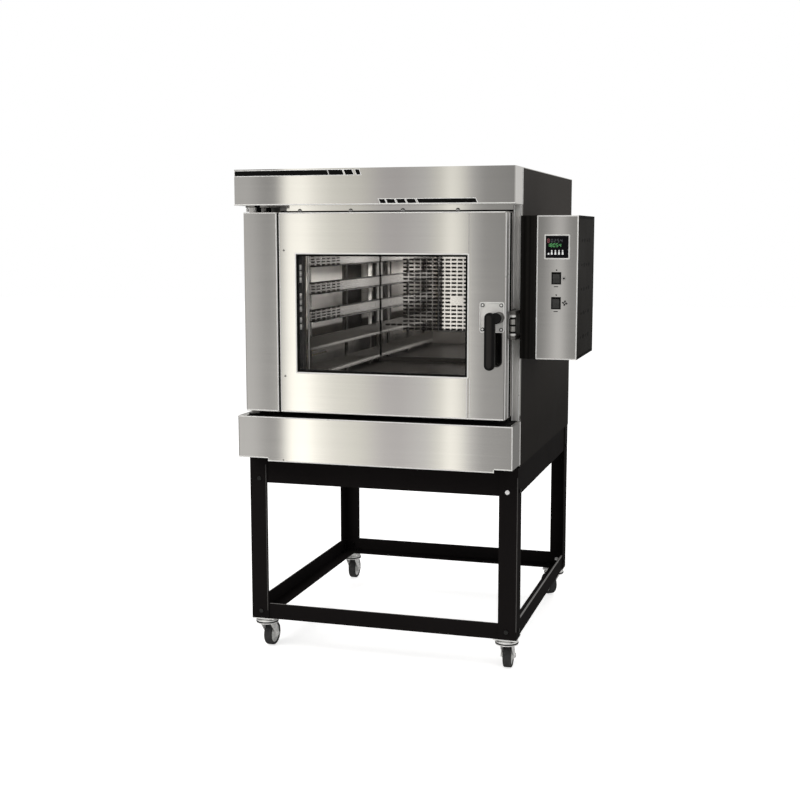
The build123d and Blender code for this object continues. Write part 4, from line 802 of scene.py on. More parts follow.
@dataclass(frozen=True)
class HingeSteel(TurnedMetal):
    """Hinge steel with painted shade: a black band along the knuckle, and its lower bracket black all over
    from grime and painted shade.
    """

    knuckle: float = -0.4665
    knuckle_reach: float = 0.0095
    parting: float = 1.1
    black: Colour = (0.004, 0.004, 0.004)

    def build(self, shader: Shader) -> None:
        """Blacken the metal near the pivot's axis and everywhere below the parting height, as painted shade.
        """
        super().build(shader)
        x, _, z = shader.axes()
        black = shader.maths("MAXIMUM", shader.maths("COMPARE", x, self.knuckle, self.knuckle_reach),
                             shader.maths("LESS_THAN", z, self.parting))
        shader.set(Base_Color=shader.blend(black, shader.painted(), self.black))


@dataclass(frozen=True)
class Rubber(Finish):
    """Moulded rubber, dusty where it is handled or rolls."""

    colour: Colour = (0.035, 0.035, 0.036)
    dust: Colour = (0.13, 0.125, 0.12)
    roughness: float = 0.68
    dust_share: float = 0.35
    specular: float = 0.3

    def build(self, shader: Shader) -> None:
        """Speckle the rubber and settle dust on it in patches."""
        plain = shader.place()
        patch = shader.noise(plain, 38.0, 6.0, 0.7)
        speckle = shader.noise(plain, 900.0, 2.0)
        dusty = shader.blend(shader.spread(patch, 0.0, self.dust_share, 0.45, 0.75),
                             shader.toned(speckle, self.colour, 0.8, 1.3), self.dust)
        shader.set(Base_Color=dusty, Roughness=shader.spread(patch, self.roughness, self.roughness + 0.15),
                   Specular_IOR_Level=self.specular, Normal=shader.bump(speckle, 0.15, 0.25))


@dataclass(frozen=True)
class MouldedPlastic(Finish):
    """Moulded plastic with a spark-eroded texture."""

    colour: Colour = (0.02, 0.02, 0.021)
    roughness: float = 0.42
    texture: float = 0.1
    texture_scale: float = 1600.0
    specular: float = 0.5

    def build(self, shader: Shader) -> None:
        """Set a fine grain and a slow change of gloss."""
        plain = shader.place()
        grain = shader.noise(plain, self.texture_scale, 2.0)
        handled = shader.noise(plain, 45.0, 4.0)
        shader.set(Base_Color=shader.toned(handled, self.colour, 0.88, 1.18),
                   Roughness=shader.spread(handled, self.roughness - 0.08, self.roughness + 0.08),
                   Specular_IOR_Level=self.specular, Normal=shader.bump(grain, self.texture, 0.15))


@dataclass(frozen=True)
class MineralWool(Finish):
    """Matted mineral fibre."""

    colour: Colour = (0.55, 0.47, 0.27)

    def build(self, shader: Shader) -> None:
        """Tangle long fibres over a lumpy ground."""
        fibre = shader.noise(shader.place((60.0, 400.0, 400.0)), 1.0, 6.0, 0.8)
        lump = shader.noise(shader.place(), 30.0, 5.0)
        shader.set(Base_Color=shader.toned(fibre, self.colour, 0.6, 1.25), Roughness=0.95,
                   Specular_IOR_Level=0.1, Normal=shader.bump(fibre, 0.7, 1.0, shader.bump(lump, 0.5, 3.0)))


@dataclass(frozen=True)
class ClearGlass(Finish):
    """Flat glass that shows what is behind it, with a weak reflection and faint wipe marks."""

    tint: Colour = (0.982, 0.98, 0.98)
    gloss_share: float = 0.5

    def build(self, shader: Shader) -> None:
        """Mix a clear shader with a glossy one by the angle of view."""
        wiped = shader.noise(shader.place((4.0, 4.0, 14.0)), 1.0, 5.0, 0.6)
        shader.set(Base_Color=(0.02, 0.022, 0.022), Roughness=shader.spread(wiped, 0.02, 0.09),
                   Specular_IOR_Level=0.25)
        clear = shader.add("ShaderNodeBsdfTransparent", {"Color": self.tint}).outputs["BSDF"]
        angle = shader.add("ShaderNodeLayerWeight", {"Blend": 0.16}).outputs["Fresnel"]
        share = shader.maths("MULTIPLY_ADD", angle, self.gloss_share, shader.spread(wiped, 0.015, 0.035))
        both = shader.choose(share, clear, shader.surface.outputs["BSDF"])
        shader.feed(shader.output.inputs["Surface"], both)


@dataclass(frozen=True)
class Film(Finish):
    """Printed or cut film and ink, slightly uneven in tone."""

    colour: Colour = (0.003, 0.003, 0.003)
    roughness: float = 0.4
    specular: float = 0.08

    def build(self, shader: Shader) -> None:
        """Vary the film's tone and gloss a little."""
        uneven = shader.noise(shader.place(), 120.0, 4.0)
        shader.set(Base_Color=shader.toned(uneven, self.colour, 0.8, 1.3),
                   Roughness=shader.spread(uneven, self.roughness - 0.06, self.roughness + 0.1),
                   Specular_IOR_Level=self.specular, Normal=shader.bump(uneven, 0.05, 0.05))


@dataclass(frozen=True)
class Glow(Finish):
    """Lit segments and lamps of the controller."""

    colour: Colour = (0.1, 0.9, 0.15)
    strength: float = 1.0

    def build(self, shader: Shader) -> None:
        """Light the surface a little unevenly, as diodes behind a film do."""
        lit = shader.toned(shader.noise(shader.place(), 700.0, 2.0), self.colour, 0.75)
        shader.set(Base_Color=shade(self.colour, 0.3), Roughness=0.4, Emission_Color=lit,
                   Emission_Strength=self.strength)


@dataclass(frozen=True)
class HeatedSheath(Finish):
    """Element tube blued and browned by heat."""

    def build(self, shader: Shader) -> None:
        """Run heat colours along the tube in bands."""
        band = shader.noise(shader.place(), 26.0, 4.0)
        colours = shader.blend(shader.spread(band, 0.0, 1.0), (0.09, 0.06, 0.045), (0.12, 0.13, 0.17))
        shader.set(Base_Color=colours, Metallic=0.8, Roughness=shader.spread(band, 0.4, 0.62))


STAINLESS = BrushedSteel("brushed_stainless", roughness=0.065)
LINER = BrushedSteel("liner_steel", colour=(0.62, 0.6, 0.57), roughness=0.2, anisotropy=0.3,
                     metallic=0.72, tone=0.015)
RACK = RackSteel("rack_steel", colour=(0.74, 0.73, 0.71), roughness=0.16, anisotropy=0.3,
                 metallic=0.74, tone=0.015)
DARK_STEEL = BrushedSteel("duct_steel", colour=(0.14, 0.13, 0.12), roughness=0.4, anisotropy=0.2,
                          metallic=0.5)
# Side plates and rear rack posts, darker below a height as painted shade.
PLATE_STEEL = LowShadeSteel("duct_plate_steel", anisotropy=0.2)
REAR_POST = LowShadeSteel("rack_post_steel", foot=1.053)
# Dark steel over the air openings and the baffle's foot: painted shade.
SHADE_STEEL = BrushedSteel("opening_shade_steel", colour=(0.08, 0.075, 0.068), roughness=0.5, anisotropy=0.2,
                            metallic=0.5)
BAFFLE = BrushedSteel("baffle_steel", colour=(0.86, 0.85, 0.84), roughness=0.04, anisotropy=0.4,
                      grain_depth=0.004)
LINER_FLOOR = BrushedSteel("liner_floor_steel", colour=(0.115, 0.107, 0.1), roughness=0.4, anisotropy=0.2,
                           metallic=0.7)
CHARCOAL = TopLitCoat("charcoal_paint", colour=(0.0225, 0.0205, 0.019), specular=0.008)
BOX_PAINT = FoldedCoat("box_paint", colour=(0.0195, 0.018, 0.0165), specular=0.008, front_share=0.6)
BLACK_PAINT = PowderCoat("stand_paint", colour=(0.0108, 0.0095, 0.0095), roughness=0.45, specular=0.006)
MOTOR_PAINT = PowderCoat("motor_paint", colour=(0.12, 0.13, 0.14), roughness=0.6, peel_scale=300.0)
ZINC = ZincCoat("bright_zinc", colour=(1.0, 1.0, 0.99), roughness=0.24, metallic=0.25)
GALVANISED = ZincCoat("galvanised", colour=(0.5, 0.51, 0.52), roughness=0.42, spangle_scale=35.0, spangle=0.3)
BOLT_STEEL = MixedBolts("bolt_steel", colour=(1.0, 1.0, 1.0), roughness=0.3, metallic=0.2)
CHROME = TurnedMetal("chrome", colour=(0.75, 0.75, 0.76), roughness=0.07)
HINGE_STEEL = HingeSteel("hinge_steel", colour=(0.3, 0.295, 0.285), roughness=0.3)
DOOR_SCREW = TurnedMetal("door_screw_steel", colour=(0.55, 0.54, 0.52), roughness=0.24)
ESCUTCHEON = TurnedMetal("latch_plate_steel", colour=(0.88, 0.87, 0.85), roughness=0.34, metallic=0.5)
DARK_SCREW = TurnedMetal("dark_screw_steel", colour=(0.2, 0.195, 0.19), roughness=0.3)
# Near-white, mostly diffuse steel on folds, lips, beads and small heads: painted highlights.
HIGHLIGHT_EDGE = TurnedMetal("folded_edge_highlight", colour=(0.96, 0.955, 0.94), roughness=0.34, metallic=0.3)
LEVER_COAT = LeverCoat("lever_coating", "handle_metal", colour=(0.017, 0.0155, 0.0145), roughness=0.4,
                       specular=0.2)
TYRE = Rubber("tyre_rubber", "wheel_rubber")
HUB_PLASTIC = MouldedPlastic("wheel_hub_plastic", colour=(0.72, 0.72, 0.71), roughness=0.5)
GASKET = Rubber("gasket_rubber", "gasket_rubber", colour=(0.004, 0.004, 0.004), dust_share=0.04,
                specular=0.08)
WOOL = MineralWool("mineral_wool")
ELEMENT = HeatedSheath("element_sheath")
LAMP_LENS = MouldedPlastic("lamp_lens", colour=(0.62, 0.61, 0.56), roughness=0.2, texture=0.3,
                           texture_scale=260.0)
PANE = ClearGlass("window_glass")
BLACK_PLASTIC = MouldedPlastic("black_plastic")
SWITCH_PLASTIC = MouldedPlastic("switch_plastic", colour=(0.004, 0.004, 0.004), roughness=0.5, specular=0.1)
ROCKER_PLASTIC = MouldedPlastic("rocker_plastic", colour=(0.025, 0.025, 0.024), roughness=0.3, texture=0.03)
BEZEL_PLASTIC = MouldedPlastic("bezel_plastic", colour=(0.72, 0.72, 0.7), roughness=0.35)
SCREEN = Film("screen_film", colour=(0.004, 0.004, 0.005), roughness=0.12)
BLACK_FILM = Film("stripe_film")
INK = Film("pictogram_ink", colour=(0.02, 0.02, 0.022))
# Black film round the baffle's slots, on its louvres and for the rack's slots: painted shade.
SHADE_FILM = Film("slot_shade_film", colour=(0.012, 0.011, 0.01), roughness=0.6)
STRIPE_EDGE = Film("stripe_border", colour=(0.86, 0.86, 0.84), roughness=0.45)
SEAM_GREY = TurnedMetal("seam_steel", colour=(0.5, 0.48, 0.46), roughness=0.36, metallic=0.2)
POST_STEEL = TurnedMetal("post_strip_steel", colour=(0.62, 0.61, 0.59), roughness=0.4, metallic=0.1)
FLANK_STEEL = TurnedMetal("flank_steel", colour=(0.42, 0.41, 0.4), roughness=0.3, metallic=0.4)
REVEAL_GREY = TurnedMetal("reveal_steel", colour=(0.22, 0.21, 0.2), roughness=0.4, metallic=0.3)
# Grey beads on the stand's dark edges: painted highlights.
LEG_EDGE = PowderCoat("leg_edge_highlight", colour=(0.09, 0.087, 0.085), roughness=0.4, specular=0.1)
RAIL_EDGE = PowderCoat("rail_edge_highlight", colour=(0.2, 0.195, 0.19), roughness=0.4, specular=0.2)
DIM_GLOW = Glow("dim_digits", colour=(0.16, 0.18, 0.19), strength=0.3)
GREEN_GLOW = Glow("green_digits", colour=(0.16, 0.6, 0.2), strength=0.6)
RED_GLOW = Glow("red_digits", colour=(0.5, 0.16, 0.18), strength=0.32)
WHITE_GLOW = Glow("white_keys", colour=(0.85, 0.87, 0.85), strength=0.75)


@dataclass
class Screws:
    """Pan-head screws with a small sunk recess, facing one way."""

    radius: float
    height: float
    recess_depth: float = 1.3
    recess_radius: float = 0.9

    def shape(self) -> Shape:
        """Build one head: a domed disc whose middle is sunk.

        Returns:
            The head about its own axis, with its seat at height zero.
        """
        dome = np.linspace(0, math.pi / 2, 6)
        rim = [(self.radius * math.cos(a) ** 0.6, self.height * math.sin(a)) for a in dome[:-1]]
        profile = [(0.0, 0.0), (self.radius, 0.0), *rim, (self.recess_radius, self.height),
                   (0.0, self.height - self.recess_depth)]
        return Shape.revolved(profile, 20)

    def at(self, places: Sequence[Point] | np.ndarray, facing: Facing = Facing.FRONT) -> Shape:
        """Repeat the head at several places on one face."""
        return self.shape().repeated(places, facing)


@dataclass
class Studio:
    """Floor, backdrop light, lamps and the photograph's camera."""

    floor_size: float = 40.0
    floor_colour: Colour = (0.86, 0.86, 0.86)
    floor_glow: float = 0.66
    ambient: float = 0.5
    camera_place: Point = (1.116014, -4.236448, 1.389978)
    camera_yaw: float = 16.564
    camera_pitch: float = 7.493
    camera_roll: float = 0.055
    lens: float = 56.973
    sensor: float = 36.0
    view_depth: float = 100.0
    near_span: Span = (-30.0, 0.0)

    wide_span: Span = (-180.0, 180.0)
    wide_levels: tuple[float, ...] = (0.5, 1.6, -0.14, 0.0)
    near_levels: tuple[float, ...] = (2.44, 1.3, -0.25, 0.25)

    def floor(self) -> None:
        """Lay a pale floor that keeps the object's soft shadow and otherwise meets the white backdrop."""
        half = self.floor_size / 2
        points = np.array([[-half, -half, 0], [half, -half, 0], [half, half, 0], [-half, half, 0]])
        mesh = bpy.data.meshes.new("floor")
        mesh.from_pydata(points, [], [(0, 1, 2, 3)])
        shader = Shader("floor_paper")
        grain = shader.noise(shader.place(), 60.0, 3.0)
        seen = shader.add("ShaderNodeLightPath").outputs["Is Camera Ray"]
        colour = shader.blend(grain, shade(self.floor_colour, 0.98), self.floor_colour)
        shader.set(Base_Color=colour, Roughness=0.9, Specular_IOR_Level=0.0, Emission_Color=(1.0, 1.0, 1.0),
                   Emission_Strength=shader.maths("MULTIPLY", seen, self.floor_glow))
        mesh.materials.append(shader.result)
        ground = linked("floor", mesh)
        ground.visible_glossy = False

    def backdrop(self) -> None:
        """Light the object from a white studio whose softboxes show in metal as bright and dark uprights."""
        world = bpy.data.worlds.new("studio")
        bpy.context.scene.world = world
        world.use_nodes = True
        world.node_tree.nodes.clear()
        nodes = Nodes(world.node_tree)
        x, y, z = nodes.split(nodes.add("ShaderNodeTexCoord").outputs["Generated"])
        heading = nodes.maths("ARCTAN2", x, nodes.maths("MULTIPLY", y, -1.0))
        start, end = (math.radians(limit) for limit in self.near_span)
        inside = nodes.maths("COMPARE", heading, (start + end) / 2, (end - start) / 2)
        colour = nodes.blend(inside, self.ramp(nodes, heading, self.wide_span, self.wide_bands()),
                             self.ramp(nodes, heading, self.near_span, self.near_bands()))
        levels = {2: nodes.spread(z, *self.wide_levels), 3: nodes.spread(z, *self.near_levels)}
        level = nodes.add("ShaderNodeMix", {"Factor": inside, **levels}).outputs[0]
        path = nodes.add("ShaderNodeLightPath").outputs
        metal = nodes.choose(path["Is Glossy Ray"], nodes.light((1.0, 0.99, 0.97), self.ambient),
                             nodes.light(colour, level))
        seen = nodes.choose(path["Is Camera Ray"], metal, nodes.light((1.0, 1.0, 1.0), 1.0))
        nodes.add("ShaderNodeOutputWorld", {"Surface": seen})

    @staticmethod
    def ramp(nodes: Nodes, heading: Socket, span: Span, bands: Sequence[Band]) -> Socket:
        """Spread softboxes over a span of headings.

        Args:
            nodes: Node tree of the world.
            heading: Heading of the ray in radians.
            span: First and last heading in degrees.
            bands: Heading in degrees, brightness (0.5 is white) and tint of each stop.

        Returns:
            The colour at the heading.
        """
        first, last = span
        share = nodes.spread(heading, 0.0, 1.0, math.radians(first), math.radians(last))
        ramp = nodes.add("ShaderNodeValToRGB", {"Fac": share})
        elements = ramp.color_ramp.elements
        while len(elements) < len(bands):
            elements.new(0.5)
        for element, (place, level, tint) in zip(elements, bands):
            element.position = (place - first) / (last - first)
            element.color = (*shade(tint, level), 1.0)
        return ramp.outputs["Color"]

    @staticmethod
    def wide_bands() -> list[Band]:
        """List the studio's broad softboxes all round, by heading from the front."""
        plain = (1.0, 0.985, 0.955)
        return [
            (-180, 0.40, plain), (-150, 0.28, plain), (-125, 0.52, plain), (-100, 0.34, plain),
            (-75, 0.26, plain), (-58, 0.55, plain), (-44, 0.50, plain), (-34, 0.32, plain),
            (8, 0.24, plain), (28, 0.55, plain), (60, 0.28, plain), (95, 0.52, plain),
            (135, 0.30, plain), (165, 0.46, plain), (172, 0.44, plain), (180, 0.40, plain),
        ]

    @staticmethod
    def near_bands() -> list[Band]:
        """List the narrow softboxes that the front mirrors into the camera."""
        cream, plain, lilac = (1.0, 0.98, 0.9), (1.0, 0.985, 0.955), (1.0, 0.965, 0.95)
        return [
            (-30, 0.32, plain), (-24.5, 0.33, plain), (-23.3, 0.335, plain), (-22.55, 0.22, plain),
            (-22.1, 0.24, plain), (-21.55, 0.80, cream), (-20.9, 0.82, cream), (-20.3, 0.64, cream),
            (-19.6, 0.52, cream), (-18.4, 0.44, cream), (-17.3, 0.32, lilac), (-16.6, 0.31, lilac),
            (-15.4, 0.37, plain), (-14.8, 0.48, cream), (-14.3, 0.66, cream), (-13.9, 0.58, cream),
            (-13.3, 0.32, plain), (-12.8, 0.225, plain), (-11.3, 0.19, plain), (-10.6, 0.15, plain),
            (-10.2, 0.16, plain), (-9.85, 0.25, plain), (-9.5, 0.375, plain), (-9.3, 0.36, plain),
            (-9.05, 0.22, plain), (-8.8, 0.18, plain), (-6.0, 0.26, plain), (0.0, 0.24, plain),
        ]

    def lamps(self) -> None:
        """Hang a key lamp at the front left, weaker ones right and behind, and three in the cavity."""
        self.lamp("key", (-2.2, -3.0, 3.4), (0.0, 0.0, 0.9), 2.4, 75.0, (1.0, 0.98, 0.95))
        self.lamp("fill", (2.8, -2.4, 2.2), (0.0, 0.0, 0.8), 2.0, 14.0, (0.97, 0.98, 1.0))
        self.lamp("back", (0.8, 3.2, 3.0), (0.0, 0.0, 0.9), 2.4, 40.0, (1.0, 1.0, 1.0))
        self.lamp("cavity", (-0.16, 0.1, 1.39), (-0.34, 0.08, 1.12), 0.12, 1.7, (1.0, 0.97, 0.93))
        self.lamp("cavity_front", (-0.1, -0.3, 1.38), (-0.34, -0.22, 1.15), 0.1, 0.7, (1.0, 0.97, 0.93))
        self.lamp("cavity_side", (0.2, -0.15, 1.16), (-0.38, -0.1, 1.14), 0.25, 0.9, (1.0, 0.97, 0.93))

    @staticmethod
    def lamp(name: str, place: Point, target: Point, size: float, power: float, colour: Colour) -> None:
        """Hang one square lamp that lights diffuse surfaces only.

        Args:
            name: Name of the lamp.
            place: Where it hangs, in metres.
            target: The point that it faces.
            size: Its side in metres.
            power: Its power in watts.
            colour: Colour of its light.
        """
        data = bpy.data.lights.new(name, "AREA")
        data.size = size
        data.energy = power
        data.color = colour
        lamp = linked(name, data)
        lamp.location = place
        lamp.rotation_euler = (Vector(target) - Vector(place)).to_track_quat("-Z", "Y").to_euler()
        lamp.visible_glossy = False
        lamp.visible_camera = False

    def camera(self) -> None:
        """Place the camera where the photograph's was."""
        data = bpy.data.cameras.new("camera")
        data.lens = self.lens
        data.sensor_width = self.sensor
        data.clip_end = self.view_depth
        seen = linked("camera", data)
        seen.location = self.camera_place
        turn = (90 - self.camera_pitch, self.camera_roll, self.camera_yaw)
        seen.rotation_euler = tuple(math.radians(angle) for angle in turn)
        bpy.context.scene.camera = seen
        bpy.context.scene.view_settings.view_transform = "Standard"

    def build(self) -> None:
        """Set the whole stage."""
        self.floor()
        self.backdrop()
        self.lamps()
        self.camera()


@dataclass
class Cabinet:
    """Painted shell, hood, fascia and front frame, with the stripes, folds, black gap strips of painted shade
    and screws on them.
    """

    left: float = -535.75
    right: float = 364.25
    front: float = -515.0
    face: float = -399.0
    base: float = 665.0
    fascia_top: float = 809.5
    hood: Span = (1477.5, 1589.0)
    notch: Span = (-433.75, 307.25)
    notch_top: float = 674.5
    fold: float = 1.9
    post: Span = (339.6, 356.6)
    post_folds: Span = (337.4, 358.6)
    post_levels: tuple[Span, ...] = ((812.0, 1068.0), (1161.0, 1476.0))
    hinge_plate: tuple[float, ...] = (-460.0, -405.0, 1456.5, 1475.5)
    film: float = 0.15
    border: float = 1.9
    slant: float = 6.0
    stripe_levels: tuple[Span, ...] = ((1568.6, 1584.0), (1481.7, 1494.0))
    upper_stripes: tuple[Span, ...] = ((3.0, 310.0), (313.0, 359.0), (365.0, 391.0), (401.0, 414.0))
    lower_stripes: tuple[Span, ...] = (
        (477.0, 495.0), (500.0, 526.0), (532.0, 558.0), (564.0, 591.0), (598.0, 779.0),
    )
    header_screws: tuple[float, ...] = (-359.75, -187.75, -15.75, 161.25)
    header_screw_z: float = 1461.5
    header_strip_z: float = 1458.8
    bolt_x: Span = (-507.0, -483.2)
    bolt_y: float = -478.0
    bolt_z: float = 1471.5
    fascia_screw: Span = (-380.8, 671.5)
    rear_inset: float = 16.0
    rear_count: int = 5

    def stripes(self) -> None:
        """Lay plain black stripes and slanted dashes on the hood, each over a pale border."""
        bars = [Outline.slanted(start, end, *level, self.slant, self.slant)
                for spans, level in zip((self.upper_stripes, self.lower_stripes), self.stripe_levels)
                for start, end in spans]
        # The longest stripe starts square.
        bars[0][0, 0] = self.upper_stripes[0][0]
        borders = [Shape.rim(bar, [(-self.border, 0.0), (-self.border, self.film / 2)]) for bar in bars]
        origin = (self.left, self.front, 0.0)
        pale = Shape.join(borders).placed(origin)
        Piece.make("hood_stripe_borders", pale, STRIPE_EDGE, "oven", smooth=False)
        Piece.marks("hood_stripes", bars, self.film, origin, BLACK_FILM)

    def screws(self) -> None:
        """Set pan-head screws in the header between hood and door."""
        places = [(x, self.face, self.header_screw_z) for x in self.header_screws]
        Piece.make("header_screws", Screws(7.0, 3.4, recess_radius=1.6).at(places), CHROME, "oven")

    def folds(self) -> None:
        """Round the bends of hood, fascia and frame post, which catch the light as thin lines."""
        fold, low = self.fold, self.notch_top + self.fold
        left, right, (notch_left, notch_right) = self.left, self.right, self.notch
        levels = ((left, right, self.hood[0] + fold), (left, right, self.fascia_top - fold),
                  (left, notch_left, low), (notch_right, right, low),
                  (notch_left, notch_right, self.base + fold))
        shapes = [Shape.level_bead(start, end, fold, self.front, z) for start, end, z in levels]
        shapes += [Shape.upright_bead(self.base, self.notch_top, fold, x, self.front)
                   for x in (notch_left + fold, notch_right - fold)]
        shapes.append(Shape.upright_bead(self.notch_top, self.fascia_top, fold, right - fold, self.front))
        shapes += [Shape.upright_bead(*level, fold, right, self.face - fold, Facing.RIGHT)
                   for level in ((self.notch_top, self.fascia_top), self.hood)]
        shapes += [Shape.upright_bead(*level, fold, x, self.face) for x in self.post_folds
                   for level in self.post_levels]
        lower, upper = self.post_levels
        # The upper strip and the hinge's backing plate take the brighter latch-plate steel so that they stay
        # light under the hood's shadow: painted light.
        for name, finish, outline in (("frame_post_strip_lower", POST_STEEL, (*self.post, *lower)),
                                      ("frame_post_strip_upper", ESCUTCHEON, (*self.post, *upper)),
                                      ("hinge_backing_plate", ESCUTCHEON, self.hinge_plate)):
            strip = Shape.plate(Outline.bar(*outline), *STRIP)
            Piece.make(name, strip.placed((0.0, self.face, 0.0)), finish, "oven")
        Piece.make("cabinet_folded_edges", Shape.join(shapes), HIGHLIGHT_EDGE, "oven")

    def seals(self) -> None:
        """Lay black strips on the fascia's top and along the header, above and below the door: painted shade
        in the gaps.
        """
        sill, header = (self.fascia_top, Facing.UP), (self.header_strip_z, Facing.FRONT)
        seals = ((778.0, 108.0, 4.0, -37.5, -457.0, *sill), (81.0, 14.0, 4.0, -467.5, -504.0, *sill),
                 (767.0, 6.0, 1.4, -46.5, self.face, *header))
        shapes = [Shape.plate(Outline.rounded(width, height, radius), 1.0, 1.2, 1.8).placed((x, y, z), facing)
                  for width, height, radius, x, y, z, facing in seals]
        Piece.make("door_edge_seals", Shape.join(shapes), GASKET, "oven")

    def hinge_bolts(self) -> None:
        """Hang two bright bolts under the upper hinge's plate."""
        profile = [(0.0, 0.0), (3.2, 0.0), (3.2, 3.0), (4.3, 3.6), (4.3, 12.0), (3.4, 13.4), (0.0, 13.4)]
        places = [(x, self.bolt_y, self.bolt_z) for x in self.bolt_x]
        bolts = Shape.revolved(profile, 24).repeated(places, Facing.DOWN)
        Piece.make("hinge_bolts", bolts, HIGHLIGHT_EDGE, "oven")

    def small_screw(self) -> None:
        """Set the fascia's small dark screw near its bottom edge."""
        x, z = self.fascia_screw
        head = Screws(2.2, 1.0, recess_depth=0.6, recess_radius=0.6)
        Piece.make("fascia_screw", head.at([(x, self.front, z)]), DARK_SCREW, "oven")

    def rear_screws(self) -> None:
        """Fix the rear panel with a border of pan-head screws."""
        low, high = (np.array(corner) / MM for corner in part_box("rear_panel"))
        across, up = (np.linspace(low[axis] + self.rear_inset, high[axis] - self.rear_inset, self.rear_count)
                      for axis in (0, 2))
        x, z = np.meshgrid(across, up)
        border = np.ones(x.shape, bool)
        border[1:-1, 1:-1] = False
        places = np.stack([x[border], high[1] + 0 * x[border], z[border]], axis=-1)
        Piece.make("rear_panel_screws", Screws(5.0, 2.6).at(places, Facing.REAR), DOOR_SCREW, "oven")

    def build(self) -> None:
        """Dress the cabinet's nodes and add its small pieces."""
        STAINLESS.dress("top_panel", "front_frame", "hood", "lower_fascia")
        CHARCOAL.dress("left_side_panel", "right_side_panel", "rear_panel")
        BLACK_PAINT.dress("base_pan")
        BLACK_PLASTIC.dress("cable_gland")
        WOOL.dress("insulation")
        self.stripes()
        self.screws()
        self.folds()
        self.seals()
        self.hinge_bolts()
        self.small_screw()
        self.rear_screws()


@dataclass
class Stand:
    """Angle-steel stand with its bolts, and painted highlights as grey lines along its legs' and rails'
    edges.
    """

    sides: Span = (-532.8, 361.3)
    rail_inset: float = 1.5
    right_reach: float = 3.0
    rail_top: float = 164.0
    rail_y: Span = (-360.0, 480.0)
    cross_y: float = -420.5
    cross_x: Span = (-472.8, 301.3)
    leg_edges: Span = (-480.0, 363.0)
    leg_edge_radius: float = 1.2
    leg_front: float = -425.0
    leg_levels: Span = (140.5, 635.5)

    def edges(self) -> None:
        """Paint highlights as grey beads on the legs' edges and the upper edges of the lower rails."""
        legs = [Shape.upright_bead(*self.leg_levels, self.leg_edge_radius, x, self.leg_front)
                for x in self.leg_edges]
        Piece.make("leg_edges", Shape.join(legs), LEG_EDGE, "oven")
        (left, right), (start, end) = self.sides, self.rail_y
        inset, reach = self.rail_inset, self.right_reach
        rails = [Shape.bead(end - start, radius).placed((x, (start + end) / 2, self.rail_top), Facing.UP)
                 for x, radius in ((left + inset, inset), (right - reach, reach))]
        rails.append(Shape.level_bead(*self.cross_x, inset, self.cross_y, self.rail_top, Facing.UP))
        Piece.make("rail_edges", Shape.join(rails), RAIL_EDGE, "oven")

    def build(self) -> None:
        """Dress the stand's nodes and paint highlights along its legs' and rails' edges."""
        corners = ("front_left", "front_right", "rear_left", "rear_right")
        BLACK_PAINT.dress(*(f"stand_leg_{corner}" for corner in corners))
        BLACK_PAINT.dress("stand_upper_cross_rails", "stand_upper_side_rails",
                          "stand_lower_cross_rails", "stand_lower_side_rails")
        BOLT_STEEL.dress("stand_bolts")
        self.edges()


